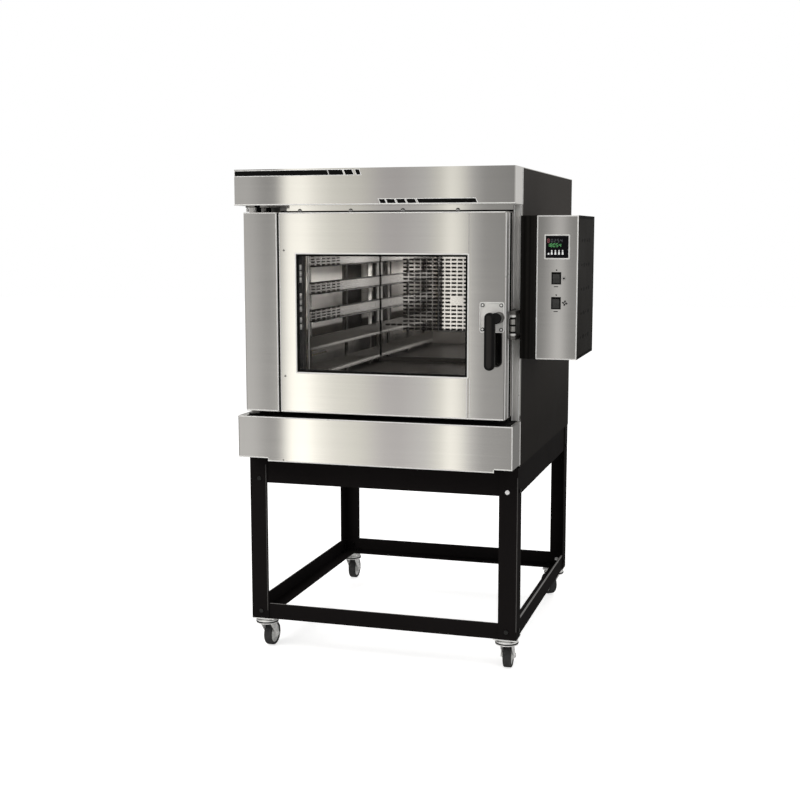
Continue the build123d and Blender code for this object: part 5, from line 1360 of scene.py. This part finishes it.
@dataclass
class Casters:
    """Plates, forks and wheels of the four casters."""

    wheel_radius: float = 40.0
    wheel_width: float = 28.0
    hub_radius: float = 14.0
    hub_width: float = 34.0
    bore: float = 5.2
    shoulder: float = 5.0
    crown_radius: float = 37.0
    ring_level: float = 95.0
    ring_half: float = 2.1
    swivel_x: Span = (-497.75, 326.25)
    swivel_y: Span = (-387.0, 499.0)

    def tyre(self) -> Shape:
        """Turn the tyre: a crowned tread with round shoulders over a bead that grips the rim."""
        half, outer, round_off = self.wheel_width / 2, self.wheel_radius, self.shoulder
        shoulder = [(outer - round_off + round_off * math.cos(a), half - round_off + round_off * math.sin(a))
                    for a in np.linspace(0.08, math.pi / 2, 7)]
        side = [*shoulder, (outer - 7.0, half), (outer - 8.5, half - 0.8), (outer - 9.5, half - 2.6)]
        front = [(outer - 0.02, 0.0), *side, (outer - 10.0, half - 3.0)]
        back = [(r, -h) for r, h in reversed(front[1:])]
        return Shape.revolved([*back, *front], 72, closed=True)

    def hub(self) -> Shape:
        """Turn the wheel's plastic body: rim, dished web and boss round the axle."""
        rim, hub = self.wheel_radius, self.hub_radius
        half, boss = self.wheel_width / 2, self.hub_width / 2
        front = [(rim - 9.6, 0.0), (rim - 9.6, half - 2.8), (rim - 12.0, half - 2.2),
                 (rim - 13.5, half - 6.5), (hub + 2.5, half - 7.5), (hub, half - 3.0),
                 (hub - 0.8, boss - 0.6), (hub - 1.8, boss), (self.bore, boss)]
        back = [(r, -h) for r, h in reversed(front[1:])]
        return Shape.revolved([*back, *front], 56, closed=True)

    def wheel(self, corner: str, turn: float) -> None:
        """Set a wheel in its fork, its axle square to the way it trails.

        Args:
            corner: Name of the caster's corner.
            turn: Heading of the trailing axle from the swivel, in degrees.
        """
        node, body = f"caster_wheel_{corner}", f"wheel_{corner}"
        centre = tuple((a + b) / 2 / MM for a, b in zip(*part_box(node)))
        heading = turn + 90.0
        tyre, hub = (shape.aimed(centre, heading) for shape in (self.tyre(), self.hub()))
        Piece.make(f"caster_tyre_{corner}", tyre, TYRE, body, [node])
        Piece.make(f"caster_hub_{corner}", hub, HUB_PLASTIC, body, [node])

    def race_shade_rings(self) -> None:
        """Put a black ring round each caster's ball race: painted shade of the gap between plate and crown.
        """
        radius, half = self.crown_radius, self.ring_half
        ring = [(radius - 2.0, -half), (radius + 0.5, -half), (radius + 0.9, 0.0), (radius + 0.5, half),
                (radius - 2.0, half)]
        places = [(x, y, self.ring_level) for x in self.swivel_x for y in self.swivel_y]
        shape = Shape.revolved(ring, 48, closed=True).copies(places)
        Piece.make("caster_dust_rings", shape, GASKET, "oven")

    def build(self) -> None:
        """Dress the metal nodes and build the wheels."""
        turns = {"front_left": 87.0, "front_right": 93.0, "rear_left": 90.0, "rear_right": 130.0}
        ZINC.dress("caster_plates")
        self.race_shade_rings()
        for corner, turn in turns.items():
            ZINC.dress(f"caster_fork_{corner}")
            self.wheel(corner, turn)


@dataclass
class Door:
    """Door skins, window and hinges, with their seals, folds and screws."""

    front: float = -511.0
    back: float = -426.0
    right: float = 336.25
    bottom: float = 827.0
    top: float = 1455.0
    skin: Span = (829.0, 1453.0)
    gauge: float = 1.5
    pane: float = 5.0
    window_x: Span = (-331.25, 219.75)
    window_z: Span = (956.0, 1326.0)
    seal_width: float = 6.2
    spacer_gauge: float = 0.6
    glint_start: float = -488.0
    glint_width: float = 19.0
    glint_rise: float = 3.2
    glint_height: float = 17.0
    glint_gauge: float = 0.5
    glint_levels: tuple[float, ...] = (1088.0, 1110.0, 1144.0, 1166.0, 1186.0, 1236.0, 1256.0, 1276.0)
    fold_levels: Span = (830.0, 1452.0)
    level_folds: tuple[tuple[float, ...], ...] = (
        (-386.0, 334.0, 1.9, 1453.0), (-386.0, 334.0, 2.1, 829.2),
        (-506.0, -399.0, 1.2, 1453.6), (-506.0, -399.0, 2.1, 829.2),
    )
    front_folds: tuple[Span, ...] = ((-396.8, 2.1), (-386.9, 1.1))
    side_folds: tuple[Span, ...] = ((-507.2, 2.8), (-462.0, 2.9))
    joint_folds: tuple[Span, ...] = ((218.9, 1.3), (227.8, 1.3))
    joint_x: float = 223.4
    lower_joint: Span = (831.0, 952.0)
    upper_joint: Span = (1330.0, 1452.0)
    seam: Span = (-391.2, 2.9)
    flank_seal: Span = (-446.0, -427.5)
    flank_strip: Span = (-503.5, -465.5)
    flange_end: float = -402.5
    flange_x: float = 333.4
    ridge_y: Span = (-459.0, -443.0)
    ridge_levels: Span = (960.0, 1322.0)
    ridge_radius: float = 1.2
    screw_x: float = -372.25
    screw_levels: Span = (942.0, 1338.0)
    cap_x: Span = (-507.0, -393.0)
    cap_y: Span = (-510.2, -427.2)

    def round_window(self, profile: Sequence[Span], margin: float = 0.0, radius: float = 0.8,
                     steps: int = 2) -> Shape:
        """Carry a closed profile round the window on the door's front.

        Args:
            profile: Pairs of inset and height.
            margin: How much wider and higher than the window its outline is.
            radius: Corner radius.
            steps: Points on each corner, less one.

        Returns:
            The placed ring.
        """
        (left, right), (bottom, top) = self.window_x, self.window_z
        outline = Outline.rounded(right - left + margin, top - bottom + margin, radius, steps)
        centre = ((left + right) / 2, self.front, (bottom + top) / 2)
        return Shape.rim(outline, profile, closed=True).placed(centre)

    def on_flank(self, span: Span, edge: tuple[float, float, float], x: float) -> Shape:
        """Lay a plate over a stretch of the door's latch side, as high as its skin."""
        return Shape.plate(Outline.bar(*span, *self.skin), *edge).placed((x, 0.0, 0.0), Facing.RIGHT)

    def uprights(self, folds: Iterable[Span], levels: Span) -> list[Shape]:
        """Run beads up the door's front, each given by its x and radius."""
        return [Shape.upright_bead(*levels, radius, x, self.front) for x, radius in folds]

    def seal(self) -> None:
        """Press a black seal into the window's edge, on the pane."""
        width, lip = self.seal_width, self.gauge + 0.3
        profile = [(0.05, -lip + 0.05), (0.05, -0.35), (width * 0.35, 0.0), (width * 0.75, -0.4),
                   (width, -lip + 0.05)]
        Piece.make("window_seal", self.round_window(profile), GASKET, "door")

    def spacer(self) -> None:
        """Line the reveal between the panes with a dark folded strip."""
        gauge, start = self.spacer_gauge, -(self.gauge + self.pane + 0.8)
        end = self.front - self.back - start
        profile = [(0.05, start), (gauge, start), (gauge, start - 8), (gauge + 1.4, start - 10),
                   (gauge + 1.4, start - 16), (gauge, start - 18), (gauge, end), (0.05, end)]
        Piece.make("window_spacer", self.round_window(profile), BLACK_PLASTIC, "door")

    def reveal_glints(self) -> None:
        """Lay bright strips along the left reveal, as waves carried over a short height: painted glints."""
        across = np.linspace(0.0, 1.0, 13)
        depth = self.glint_start + self.glint_width * across
        wave = self.window_x[0] + self.spacer_gauge + self.glint_rise * (0.12 + np.sin(math.pi * across) ** 2)
        rows = np.array([[0.0], [self.glint_height]])
        base = np.stack(np.broadcast_arrays(wave[None, :], depth[None, :], rows), axis=-1)
        sheet = Shape.grid(base).copies([(0.0, 0.0, level) for level in self.glint_levels])
        wall = Piece.make("window_clips", sheet, HIGHLIGHT_EDGE, "door").modifiers.new("wall", "SOLIDIFY")
        wall.thickness = self.glint_gauge * MM

    def trims(self) -> None:
        """Edge the window, the column's seam and the door's outer bends with thin bright folds."""
        profile = [(-2.2, 0.0), (-1.7, 0.9), (0.1, 1.5), (1.9, 0.9), (2.4, 0.0)]
        shapes = [self.round_window(profile, 5.0, 2.5, 3)]
        shapes += self.uprights(self.front_folds, self.fold_levels)
        shapes += [Shape.upright_bead(*self.fold_levels, radius, self.right, y, Facing.RIGHT)
                   for y, radius in self.side_folds]
        shapes += self.uprights(self.joint_folds, self.lower_joint)
        shapes += [Shape.level_bead(start, end, radius, self.front, z)
                   for start, end, radius, z in self.level_folds]
        Piece.make("door_folded_edges", Shape.join(shapes), HIGHLIGHT_EDGE, "door")

    def seam_seal(self) -> None:
        """Fill the seam between column and skin, and the latch side's rear edge, with black seals."""
        edge = self.on_flank(self.flank_seal, (0.8, 0.8, 1.3), self.right)
        shape = Shape.join([*self.uprights([self.seam], self.skin), edge])
        Piece.make("door_seam_seal", shape, GASKET, "door")

    def flank(self) -> None:
        """Cover the door's latch side with a plain strip and put a flange behind it round the gasket."""
        strip = self.on_flank(self.flank_strip, STRIP, self.right)
        Piece.make("door_flank_strip", strip, FLANK_STEEL, "door")
        flange = self.on_flank((self.back, self.flange_end), (1.2, 0.4, 1.6), self.flange_x)
        Piece.make("door_flank_flange", flange, SEAM_GREY, "door")

    def stile_seam(self) -> None:
        """Run the grey joint between skin and latch stile below and above the window."""
        shapes = self.uprights([(self.joint_x, 1.8)], self.lower_joint)
        shapes += self.uprights([(self.joint_x, 1.1)], self.upper_joint)
        Piece.make("door_stile_seam", Shape.join(shapes), SEAM_GREY, "door")

    def reveal_lines(self) -> None:
        """Fold two thin ridges into the window's left reveal."""
        x = self.window_x[0] + self.spacer_gauge
        shapes = [Shape.upright_bead(*self.ridge_levels, self.ridge_radius, x, y, Facing.RIGHT)
                  for y in self.ridge_y]
        Piece.make("window_reveal_ridges", Shape.join(shapes), REVEAL_GREY, "door")

    def column_caps(self) -> None:
        """Close the column's two ends, which the pivots pass through, with thin steel caps."""
        front, back = self.cap_y
        ends = (((front, back), self.top, Facing.UP), ((-back, -front), self.bottom, Facing.DOWN))
        caps = [Shape.plate(Outline.bar(*self.cap_x, *span), 0.5, 0.2, 0.7).placed((0.0, 0.0, z), facing)
                for span, z, facing in ends]
        Piece.make("door_column_caps", Shape.join(caps), SEAM_GREY, "door")

    def screws(self) -> None:
        """Set the two screws of the door's left stile."""
        places = [(self.screw_x, self.front, level) for level in self.screw_levels]
        Piece.make("door_screws", Screws(3.6, 1.8).at(places), DOOR_SCREW, "door")

    def build(self) -> None:
        """Dress the door's nodes and add its small pieces."""
        STAINLESS.dress("hinge_column_cover", "door_skin", "latch_stile_cover")
        LINER.dress("door_inner_panel")
        WOOL.dress("door_core")
        GALVANISED.dress("door_inserts")
        PANE.dress("window_panes")
        HINGE_STEEL.dress("hinge_brackets")
        GASKET.dress("door_gasket")
        self.seal()
        self.spacer()
        self.reveal_glints()
        self.trims()
        self.seam_seal()
        self.flank()
        self.stile_seam()
        self.reveal_lines()
        self.column_caps()
        self.screws()


@dataclass
class Latch:
    """Latch plate, lever, tongue, keeper and roller."""

    lever_x: float = 300.75
    lever_top: float = 1157.0
    lever_length: float = 173.0
    lever_width: float = 32.0
    lever_front: float = -575.0
    lever_depth: float = 22.0
    crown: float = 1.6
    lever_steps: int = 64
    spindle_x: float = 319.25
    spindle_z: float = 1140.0
    hub_radius: float = 17.0
    plate_x: Span = (259.75, 335.75)
    plate_z: Span = (1094.0, 1186.0)
    plate_front: float = -519.0
    plate_gauge: float = 1.6
    plate_corner: float = 6.0
    screw_inset: float = 9.5
    roller: Point = (353.25, -479.0, 1114.5)
    roller_radius: float = 8.0
    collar_lifts: tuple[float, ...] = (25.0, -31.0)
    bush_lifts: tuple[float, ...] = (18.0, -24.0, -3.0)

    def corners(self, y: float) -> list[Point]:
        """List the places of the plate's four screws at a depth."""
        (left, right), (bottom, top) = self.plate_x, self.plate_z
        inset = self.screw_inset
        return [(x, y, z) for x in (left + inset, right - inset) for z in (bottom + inset, top - inset)]

    def trim(self) -> None:
        """Round the plate's edge with a bright fold."""
        (left, right), (bottom, top) = self.plate_x, self.plate_z
        outline = Outline.rounded(right - left, top - bottom, self.plate_corner)
        ring = Shape.rim(outline, [(0.4, 0.0), (0.6, 0.7), (1.8, 1.1), (3.0, 0.7), (3.2, 0.0)], closed=True)
        centre = ((left + right) / 2, self.plate_front - self.plate_gauge, (bottom + top) / 2)
        Piece.make("latch_plate_fold", ring.placed(centre), HIGHLIGHT_EDGE, "door")

    def screw_shades(self) -> None:
        """Seat black rings under the plate's screws: painted shade round their heads."""
        ring = Shape.revolved([(2.0, 0.0), (5.6, 0.0), (5.6, 0.7), (2.0, 0.9)], 24, closed=True)
        shape = ring.repeated(self.corners(self.plate_front - self.plate_gauge))
        Piece.make("latch_plate_washers", shape, GASKET, "door")

    def bushes(self) -> None:
        """Ring the keeper's roller with bright collars and black bushes."""
        x, y, z = self.roller
        inner, outer = self.roller_radius - 0.3, self.roller_radius + 1.0
        collar = Shape.revolved([(inner, 0.0), (outer, 0.6), (outer, 5.4), (inner, 6.0)], 32, closed=True)
        for name, lifts, finish in (("keeper_collars", self.collar_lifts, HIGHLIGHT_EDGE),
                                    ("keeper_bushes", self.bush_lifts, GASKET)):
            Piece.make(name, collar.copies([(x, y, z + lift) for lift in lifts]), finish, "roller")

    def lever(self) -> None:
        """Model the lever with its hub: rings of a round-ended slot, drawn in over a crowned face."""
        reach, steps = self.lever_width / 2, self.lever_steps
        straight = (self.lever_length - self.lever_width) / 2
        back = [(3.0, 0.0), (1.2, 0.5), (0.2, 1.8), (0.0, 3.5)]
        rise = self.lever_depth - self.crown
        side = [(0.0, rise - 7.0), (0.5, rise - 3.4), (2.0, rise - 1.2), (4.2, rise)]
        face = [(reach * t, rise + self.crown * math.sin(math.pi / 2 * (t - 0.26) / 0.74))
                for t in (0.4, 0.55, 0.7, 0.85, 0.999)]
        rings = np.array([*back, *side, *face])
        turn = np.linspace(0, 2 * math.pi, steps, endpoint=False)
        end = np.where(np.sin(turn) >= 0, straight, -straight)
        flat = np.stack([np.cos(turn), np.sin(turn)], axis=-1)[None] * (reach - rings[:, :1, None])
        flat[..., 1] += end
        height = np.broadcast_to(rings[:, 1:, None], flat.shape[:2] + (1,))
        grip = Shape.grid(np.concatenate([flat, height], axis=-1), closed_columns=True)
        ring = np.arange(steps).reshape(1, -1)
        grip.faces += [ring[:, ::-1], (len(rings) - 1) * steps + ring]
        origin = (self.lever_x, self.lever_front + self.lever_depth, self.lever_top - self.lever_length / 2)
        long = self.plate_front - self.lever_front - 5.0
        hub, neck = self.hub_radius, self.hub_radius - 1.6
        boss = [(0.0, 0.0), (hub, 0.0), (hub, 4.0), (neck, 6.0), (neck, long - 8.0), (hub, long - 5.0),
                (hub, long - 2.0), (hub - 2.0, long), (0.0, long)]
        base = Shape.revolved(boss, 48).placed((self.spindle_x, self.plate_front - 0.3, self.spindle_z))
        lever = Shape.join([grip.placed(origin), base])
        Piece.make("latch_lever", lever, LEVER_COAT, "handle", ["handle_lever"])

    def screws(self) -> None:
        """Set pan heads over the plate's four screws."""
        heads = Screws(4.2, 3.6).at(self.corners(self.plate_front))
        Piece.make("latch_plate_screws", heads, HIGHLIGHT_EDGE, "door")

    def build(self) -> None:
        """Dress the latch's nodes and add its small pieces."""
        ESCUTCHEON.dress("handle_plate")
        DARK_SCREW.dress("latch_keeper")
        DOOR_SCREW.dress("keeper_roller")
        CHROME.dress("latch_tongue")
        self.lever()
        self.trim()
        self.screw_shades()
        self.screws()
        self.bushes()


@dataclass
class Cavity:
    """Liner, tray racks, air baffle, fan, element and lamp."""

    left: float = -385.75
    right: float = 314.25
    duct_depth: float = 18.0
    lining_size: Span = (360.0, 400.0)
    lining_y: float = 100.0
    lining_z: float = 1180.0
    opening_z: Span = (1028.0, 1322.0)
    front_plate: Span = (-372.0, 79.0)
    rear_plate_start: float = 299.0
    rear_plate_gap: float = 3.0
    shade_sheet_y: Span = (80.0, 298.0)
    post_half: float = 11.0
    post_y: float = 268.0
    post_z: Span = (907.0, 1322.0)
    post_stand: float = 42.0
    floor: float = 905.0
    rack_face: float = -335.75
    front_edge: Span = (-340.75, -380.5)
    front_edge_z: Span = (906.0, 1321.0)
    front_edge_radius: float = 2.8
    band_bottoms: tuple[float, ...] = (1104.0, 1193.0, 1282.0)
    band_slot: Span = (34.0, 4.4)
    band_slot_count: int = 6
    band_slot_start: float = -350.0
    band_slot_pitch: float = 50.0
    band_rows: tuple[float, ...] = (6.0, 15.5, 25.0, 34.5)
    slot_pitch: Span = (23.6, 14.5)
    slot_size: Span = (16.0, 5.0)
    slot_border: float = 1.2
    slot_count: tuple[int, int] = (14, 20)
    louvre_columns: int = 5
    grille_centre: Span = (-35.75, 1169.0)

    def on_walls(self, shape: Shape, y: float, z: float, stand: float = 0.0) -> Shape:
        """Set a shape on both side walls, or a distance into the cavity from them."""
        return Shape.join([shape.placed((self.left + stand, y, z), Facing.RIGHT),
                           shape.placed((self.right - stand, y, z), Facing.LEFT)])

    def wall_plates(self, start: float, end: float) -> Shape:
        """Lay a thin plate on both side walls over a stretch of their depth, as high as the air opening."""
        bottom, top = self.opening_z
        plate = Shape.plate(Outline.rounded(end - start, top - bottom, 4.0), 1.0, 1.0, 1.6)
        return self.on_walls(plate, (start + end) / 2, (bottom + top) / 2)

    def side_plates(self) -> None:
        """Cover the side walls before and behind their air opening with plates, and close the opening with a
        dark sheet of painted shade.
        """
        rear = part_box("cavity_left_wall")[1][1] / MM - self.rear_plate_gap
        plates = [self.wall_plates(*self.front_plate), self.wall_plates(self.rear_plate_start, rear)]
        Piece.make("air_opening_plates", Shape.join(plates), PLATE_STEEL, "oven")
        Piece.make("air_opening_screens", self.wall_plates(*self.shade_sheet_y), SHADE_STEEL, "oven")

    def grille(self) -> None:
        """Edge the baffle's slots with black painted shade, press black louvres of painted shade into its
        left side and close its foot with dark steel of painted shade.
        """
        (width, height), border = self.slot_size, self.slot_border
        columns, rows = self.slot_count
        column, row = np.meshgrid(np.arange(-self.louvre_columns, columns), np.arange(rows), indexing="ij")
        across, up = column - (columns - 1) / 2, row - (rows - 1) / 2
        blank = (np.abs(across) < 1) & (np.abs(up + 2) < 1)
        pressed = (column < 0) & ((column >= -2) | (row == 1))
        (x, z), (pitch_x, pitch_z) = self.grille_centre, self.slot_pitch
        (left, face, bottom), (right, _, _) = (np.array(corner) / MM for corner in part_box("air_baffle"))
        places = np.stack([x + across * pitch_x, face + 0 * across, z + up * pitch_z], axis=-1)
        slot = Outline.bar(-width / 2, width / 2, -height / 2, height / 2)
        rim = Shape.rim(slot, [(-border, 0.0), (-border, 0.15), (0.1, 0.15), (0.1, 0.0)], closed=True)
        louvre = Shape.rim(slot, [(-border, 0.0), (-border, 0.3), (0.0, 0.7)])
        for name, shape, chosen in (("baffle_slot_rims", rim, (column >= 0) & ~blank),
                                    ("baffle_louvres", louvre, pressed)):
            Piece.make(name, shape.repeated(places[chosen]), SHADE_FILM, "oven", smooth=False)
        foot = Shape.sheet(Outline.bar(left, right, self.floor + 0.5, bottom + 1.0), 0.8)
        Piece.make("baffle_foot", foot.placed((0.0, face, 0.0)), SHADE_STEEL, "oven")

    def rack_details(self) -> None:
        """Edge the left rack's front post, add rear posts and lay rows of black films on the upper bands,
        painted shade of slots.
        """
        edge = Shape.upright_bead(*self.front_edge_z, self.front_edge_radius, *self.front_edge)
        Piece.make("rack_front_edge", edge, HIGHLIGHT_EDGE, "oven")
        post = Shape.rim(Outline.bar(-self.post_half, self.post_half, *self.post_z),
                         [(0.0, 0.0), (0.0, 5.6), (3.0, 5.6), (4.0, 3.6)])
        posts = self.on_walls(post, self.post_y, 0.0, self.post_stand)
        Piece.make("rack_rear_posts", posts, REAR_POST, "oven")
        width, height = self.band_slot
        slot = Shape.sheet(Outline.bar(-width / 2, width / 2, -height / 2, height / 2), 0.15)
        along = self.band_slot_start + self.band_slot_pitch * np.arange(self.band_slot_count)
        y, z, band = np.meshgrid(along, self.band_rows, self.band_bottoms, indexing="ij")
        places = np.stack([self.rack_face + 0 * y, y, z + band], axis=-1)
        Piece.make("rack_slots", slot.repeated(places, Facing.RIGHT), SHADE_FILM, "oven", smooth=False)

    def linings(self) -> None:
        """Line the air ducts behind the side walls' openings with shallow pressed sheets."""
        profile = [(0.0, 0.3), (0.0, 2.4), (6.0, 2.4), (10.0, 1.4)]
        sheet = Shape.rim(Outline.rounded(*self.lining_size, 12.0), profile)
        linings = self.on_walls(sheet, self.lining_y, self.lining_z, -self.duct_depth)
        Piece.make("duct_linings", linings, DARK_STEEL, "oven")

    def build(self) -> None:
        """Dress the cavity's nodes and add its small pieces."""
        LINER.dress("cavity_roof", "cavity_left_wall", "cavity_right_wall")
        RACK.dress("left_tray_rack", "right_tray_rack")
        DARK_STEEL.dress("cavity_back_wall", "fan_impeller")
        BAFFLE.dress("air_baffle")
        LINER_FLOOR.dress("cavity_floor")
        MOTOR_PAINT.dress("fan_motor")
        ELEMENT.dress("heating_element")
        LAMP_LENS.dress("oven_lamp")
        self.linings()
        self.side_plates()
        self.grille()
        self.rack_details()


@dataclass
class ControlBox:
    """Side box with its front plate, temperature controller, switches and pictograms."""

    plate_face: float = -427.0
    plate_width: float = 125.0
    plate_height: float = 434.5
    plate_right: float = 539.25
    plate_top: float = 1443.5
    display_x: float = 476.25
    display_z: float = 1349.5
    mark_row: float = 18.5
    code_row: float = 5.0
    row_start: float = -26.5
    dim_start: float = -15.5
    bezel_width: float = 77.5
    bezel_height: float = 75.0
    bezel_gauge: float = 5.0
    screen_width: float = 69.0
    screen_face: float = 3.8
    body_width: float = 71.0
    body_height: float = 68.0
    body_depth: float = 62.0
    digit_film: float = 0.12
    digit_stroke: float = 0.16
    key_x: tuple[float, ...] = (-16.0, -5.0, 6.0, 17.0)
    switch_x: float = 474.75
    switch_levels: Span = (1255.5, 1180.5)
    ink_film: float = 0.1
    lamp_mark: Span = (23.0, -0.5)
    fan_mark: Span = (26.5, 0.5)

    def on_display(self, shape: Shape) -> Shape:
        """Centre a shape on the controller, at the front plate's face."""
        return shape.placed((self.display_x, self.plate_face, self.display_z))

    def bezel(self) -> None:
        """Frame the screen with a pale bezel, its edges rounded."""
        gauge, border = self.bezel_gauge, (self.bezel_width - self.screen_width) / 2
        profile = [(0.0, 0.0), (0.0, gauge - 1.4), (0.4, gauge - 0.4), (1.4, gauge), (border - 0.8, gauge),
                   (border, gauge - 0.8), (border, 0.0)]
        ring = Shape.rim(Outline.rounded(self.bezel_width, self.bezel_height, 3.0), profile, closed=True)
        Piece.make("display_bezel", self.on_display(ring), BEZEL_PLASTIC, "oven", ["display_module"])

    def body(self) -> None:
        """Close the controller with its black screen and housing."""
        profile = [(1.0, -self.body_depth), (0.0, 1.0 - self.body_depth), (0.0, 0.0), (1.0, 0.6),
                   (1.0, self.screen_face)]
        case = Shape.rim(Outline.rounded(self.body_width, self.body_height, 2.0), profile)
        Piece.make("display_screen", self.on_display(case), SCREEN, "oven", ["display_module"])

    def lit_marks(self, name: str, outlines: Iterable[np.ndarray], finish: Finish) -> None:
        """Light thin marks on the screen."""
        origin = (self.display_x, self.plate_face - self.screen_face, self.display_z)
        Piece.marks(name, outlines, self.digit_film, origin, finish)

    def segments(self, digit: int, width: float, height: float) -> list[np.ndarray]:
        """List the lit bars of a seven-segment digit as outlines about its centre.

        Args:
            digit: The digit shown.
            width: Width of the digit.
            height: Height of the digit.

        Returns:
            One four-sided outline for each lit bar.
        """
        lit = {0: "abcdef", 1: "bc", 2: "abged", 4: "fgbc", 5: "afgcd", 8: "abcdefg"}[digit]
        x, y, s = width / 2, height / 2, height * self.digit_stroke / 2
        bars = {"a": (-x, x, y), "g": (-x, x, 0.0), "d": (-x, x, -y)}
        posts = {"b": (x, 0.0, y), "c": (x, -y, 0.0), "e": (-x, -y, 0.0), "f": (-x, 0.0, y)}
        made = [Outline.bar(a + s, b - s, c - s, c + s) for key, (a, b, c) in bars.items() if key in lit]
        made += [Outline.bar(a - s, a + s, b + s, c - s) for key, (a, b, c) in posts.items() if key in lit]
        return made

    def digits(self, name: str, shown: Sequence[int], first: Span, size: Span, pitch: float,
               finish: Finish) -> None:
        """Light a row of digits on the screen.

        Args:
            name: Name of the piece.
            shown: The digits from left to right.
            first: Place of the first digit from the screen's centre.
            size: Width and height of a digit.
            pitch: Distance from one digit to the next.
            finish: The light of the row.
        """
        start, level = first
        outlines = [outline + [start + place * pitch, level] for place, digit in enumerate(shown)
                    for outline in self.segments(digit, *size)]
        self.lit_marks(name, outlines, finish)

    def lip(self) -> None:
        """Fold a thin bright lip round the front plate's edge."""
        outline = Outline.rounded(self.plate_width, self.plate_height, 1.5, 3)
        ring = Shape.rim(outline, [(0.0, 0.0), (0.1, 1.0), (1.6, 1.5), (3.2, 0.9), (3.4, 0.0)], closed=True)
        centre = (self.plate_right - self.plate_width / 2, self.plate_face,
                  self.plate_top - self.plate_height / 2)
        Piece.make("control_plate_lip", ring.placed(centre), HIGHLIGHT_EDGE, "oven")

    def keys(self) -> None:
        """Mark the row of keys under the digits with white arrows and bars."""
        marks = [Outline.polygon(3.4, 3, 90) * [1.3, 0.9] + [-25.5, -20.0],
                 Outline.bar(-27.5, -23.5, -23.5, -20.5)]
        for x in self.key_x:
            marks += [Outline.slanted(x - 1.6, x + 1.8, -23.0, -13.5, -1.2, 1.4),
                      Outline.polygon(2.0, 10) + [x, -11.0]]
        self.lit_marks("display_keys", marks, WHITE_GLOW)

    def pictograms(self) -> None:
        """Print a lamp and a fan beside the switches, and short lines and dots below and above them."""
        upper, lower = self.switch_levels
        drop = lower - upper
        ray = Outline.bar(-0.5, 0.5, 4.6, 7.0)
        blade = np.array([[0.6, 0.0], [5.2, -4.6], [9.0, -1.0], [4.6, 2.6]])
        outlines = [Outline.turned(ray, 45 * step) + self.lamp_mark for step in range(8)]
        outlines.append(Outline.polygon(3.2, 16) + self.lamp_mark)
        outlines += [Outline.turned(blade, 90 * step) + self.fan_mark + [0.0, drop] for step in range(4)]
        for level in (0.0, drop):
            outlines.append(Outline.bar(-7.0, 6.0, level - 26.5, level - 24.0))
            outlines.append(Outline.polygon(2.4, 12) + [0.5, level + 24.5])
        Piece.marks("pictograms", outlines, self.ink_film, (self.switch_x, self.plate_face, upper), INK)

    def build(self) -> None:
        """Dress the box's nodes and build its controller and marks."""
        BOX_PAINT.dress("control_box")
        STAINLESS.dress("control_front_plate")
        BLACK_PLASTIC.dress("display_module")
        SWITCH_PLASTIC.dress("switch_housings")
        ROCKER_PLASTIC.dress("upper_rocker", "lower_rocker")
        self.bezel()
        self.body()
        first, dim = ((start, self.mark_row) for start in (self.row_start, self.dim_start))
        low = (self.row_start, self.code_row)
        self.digits("display_upper_row", (8,), first, (5.2, 11.0), 9.0, RED_GLOW)
        self.digits("display_dim_row", (0, 2, 5, 4), dim, (5.0, 9.0), 9.4, DIM_GLOW)
        self.digits("display_lower_row", (1, 8, 0, 5, 4), low, (5.4, 9.6), 8.8, GREEN_GLOW)
        self.lip()
        self.keys()
        self.pictograms()


def main() -> None:
    """Build the stage and each sub-assembly in order, and report the pieces."""
    logging.basicConfig(level=logging.INFO, format="%(name)s: %(message)s")
    Studio().build()
    for assembly in (Cabinet(), Stand(), Casters(), Door(), Latch(), Cavity(), ControlBox()):
        known = set(bpy.data.objects.keys())
        assembly.build()
        made = sorted(set(bpy.data.objects.keys()) - known)
        log.info("%s dressed, new pieces: %s", type(assembly).__name__, ", ".join(made) or "none")


if __name__ == "__main__":
    main()
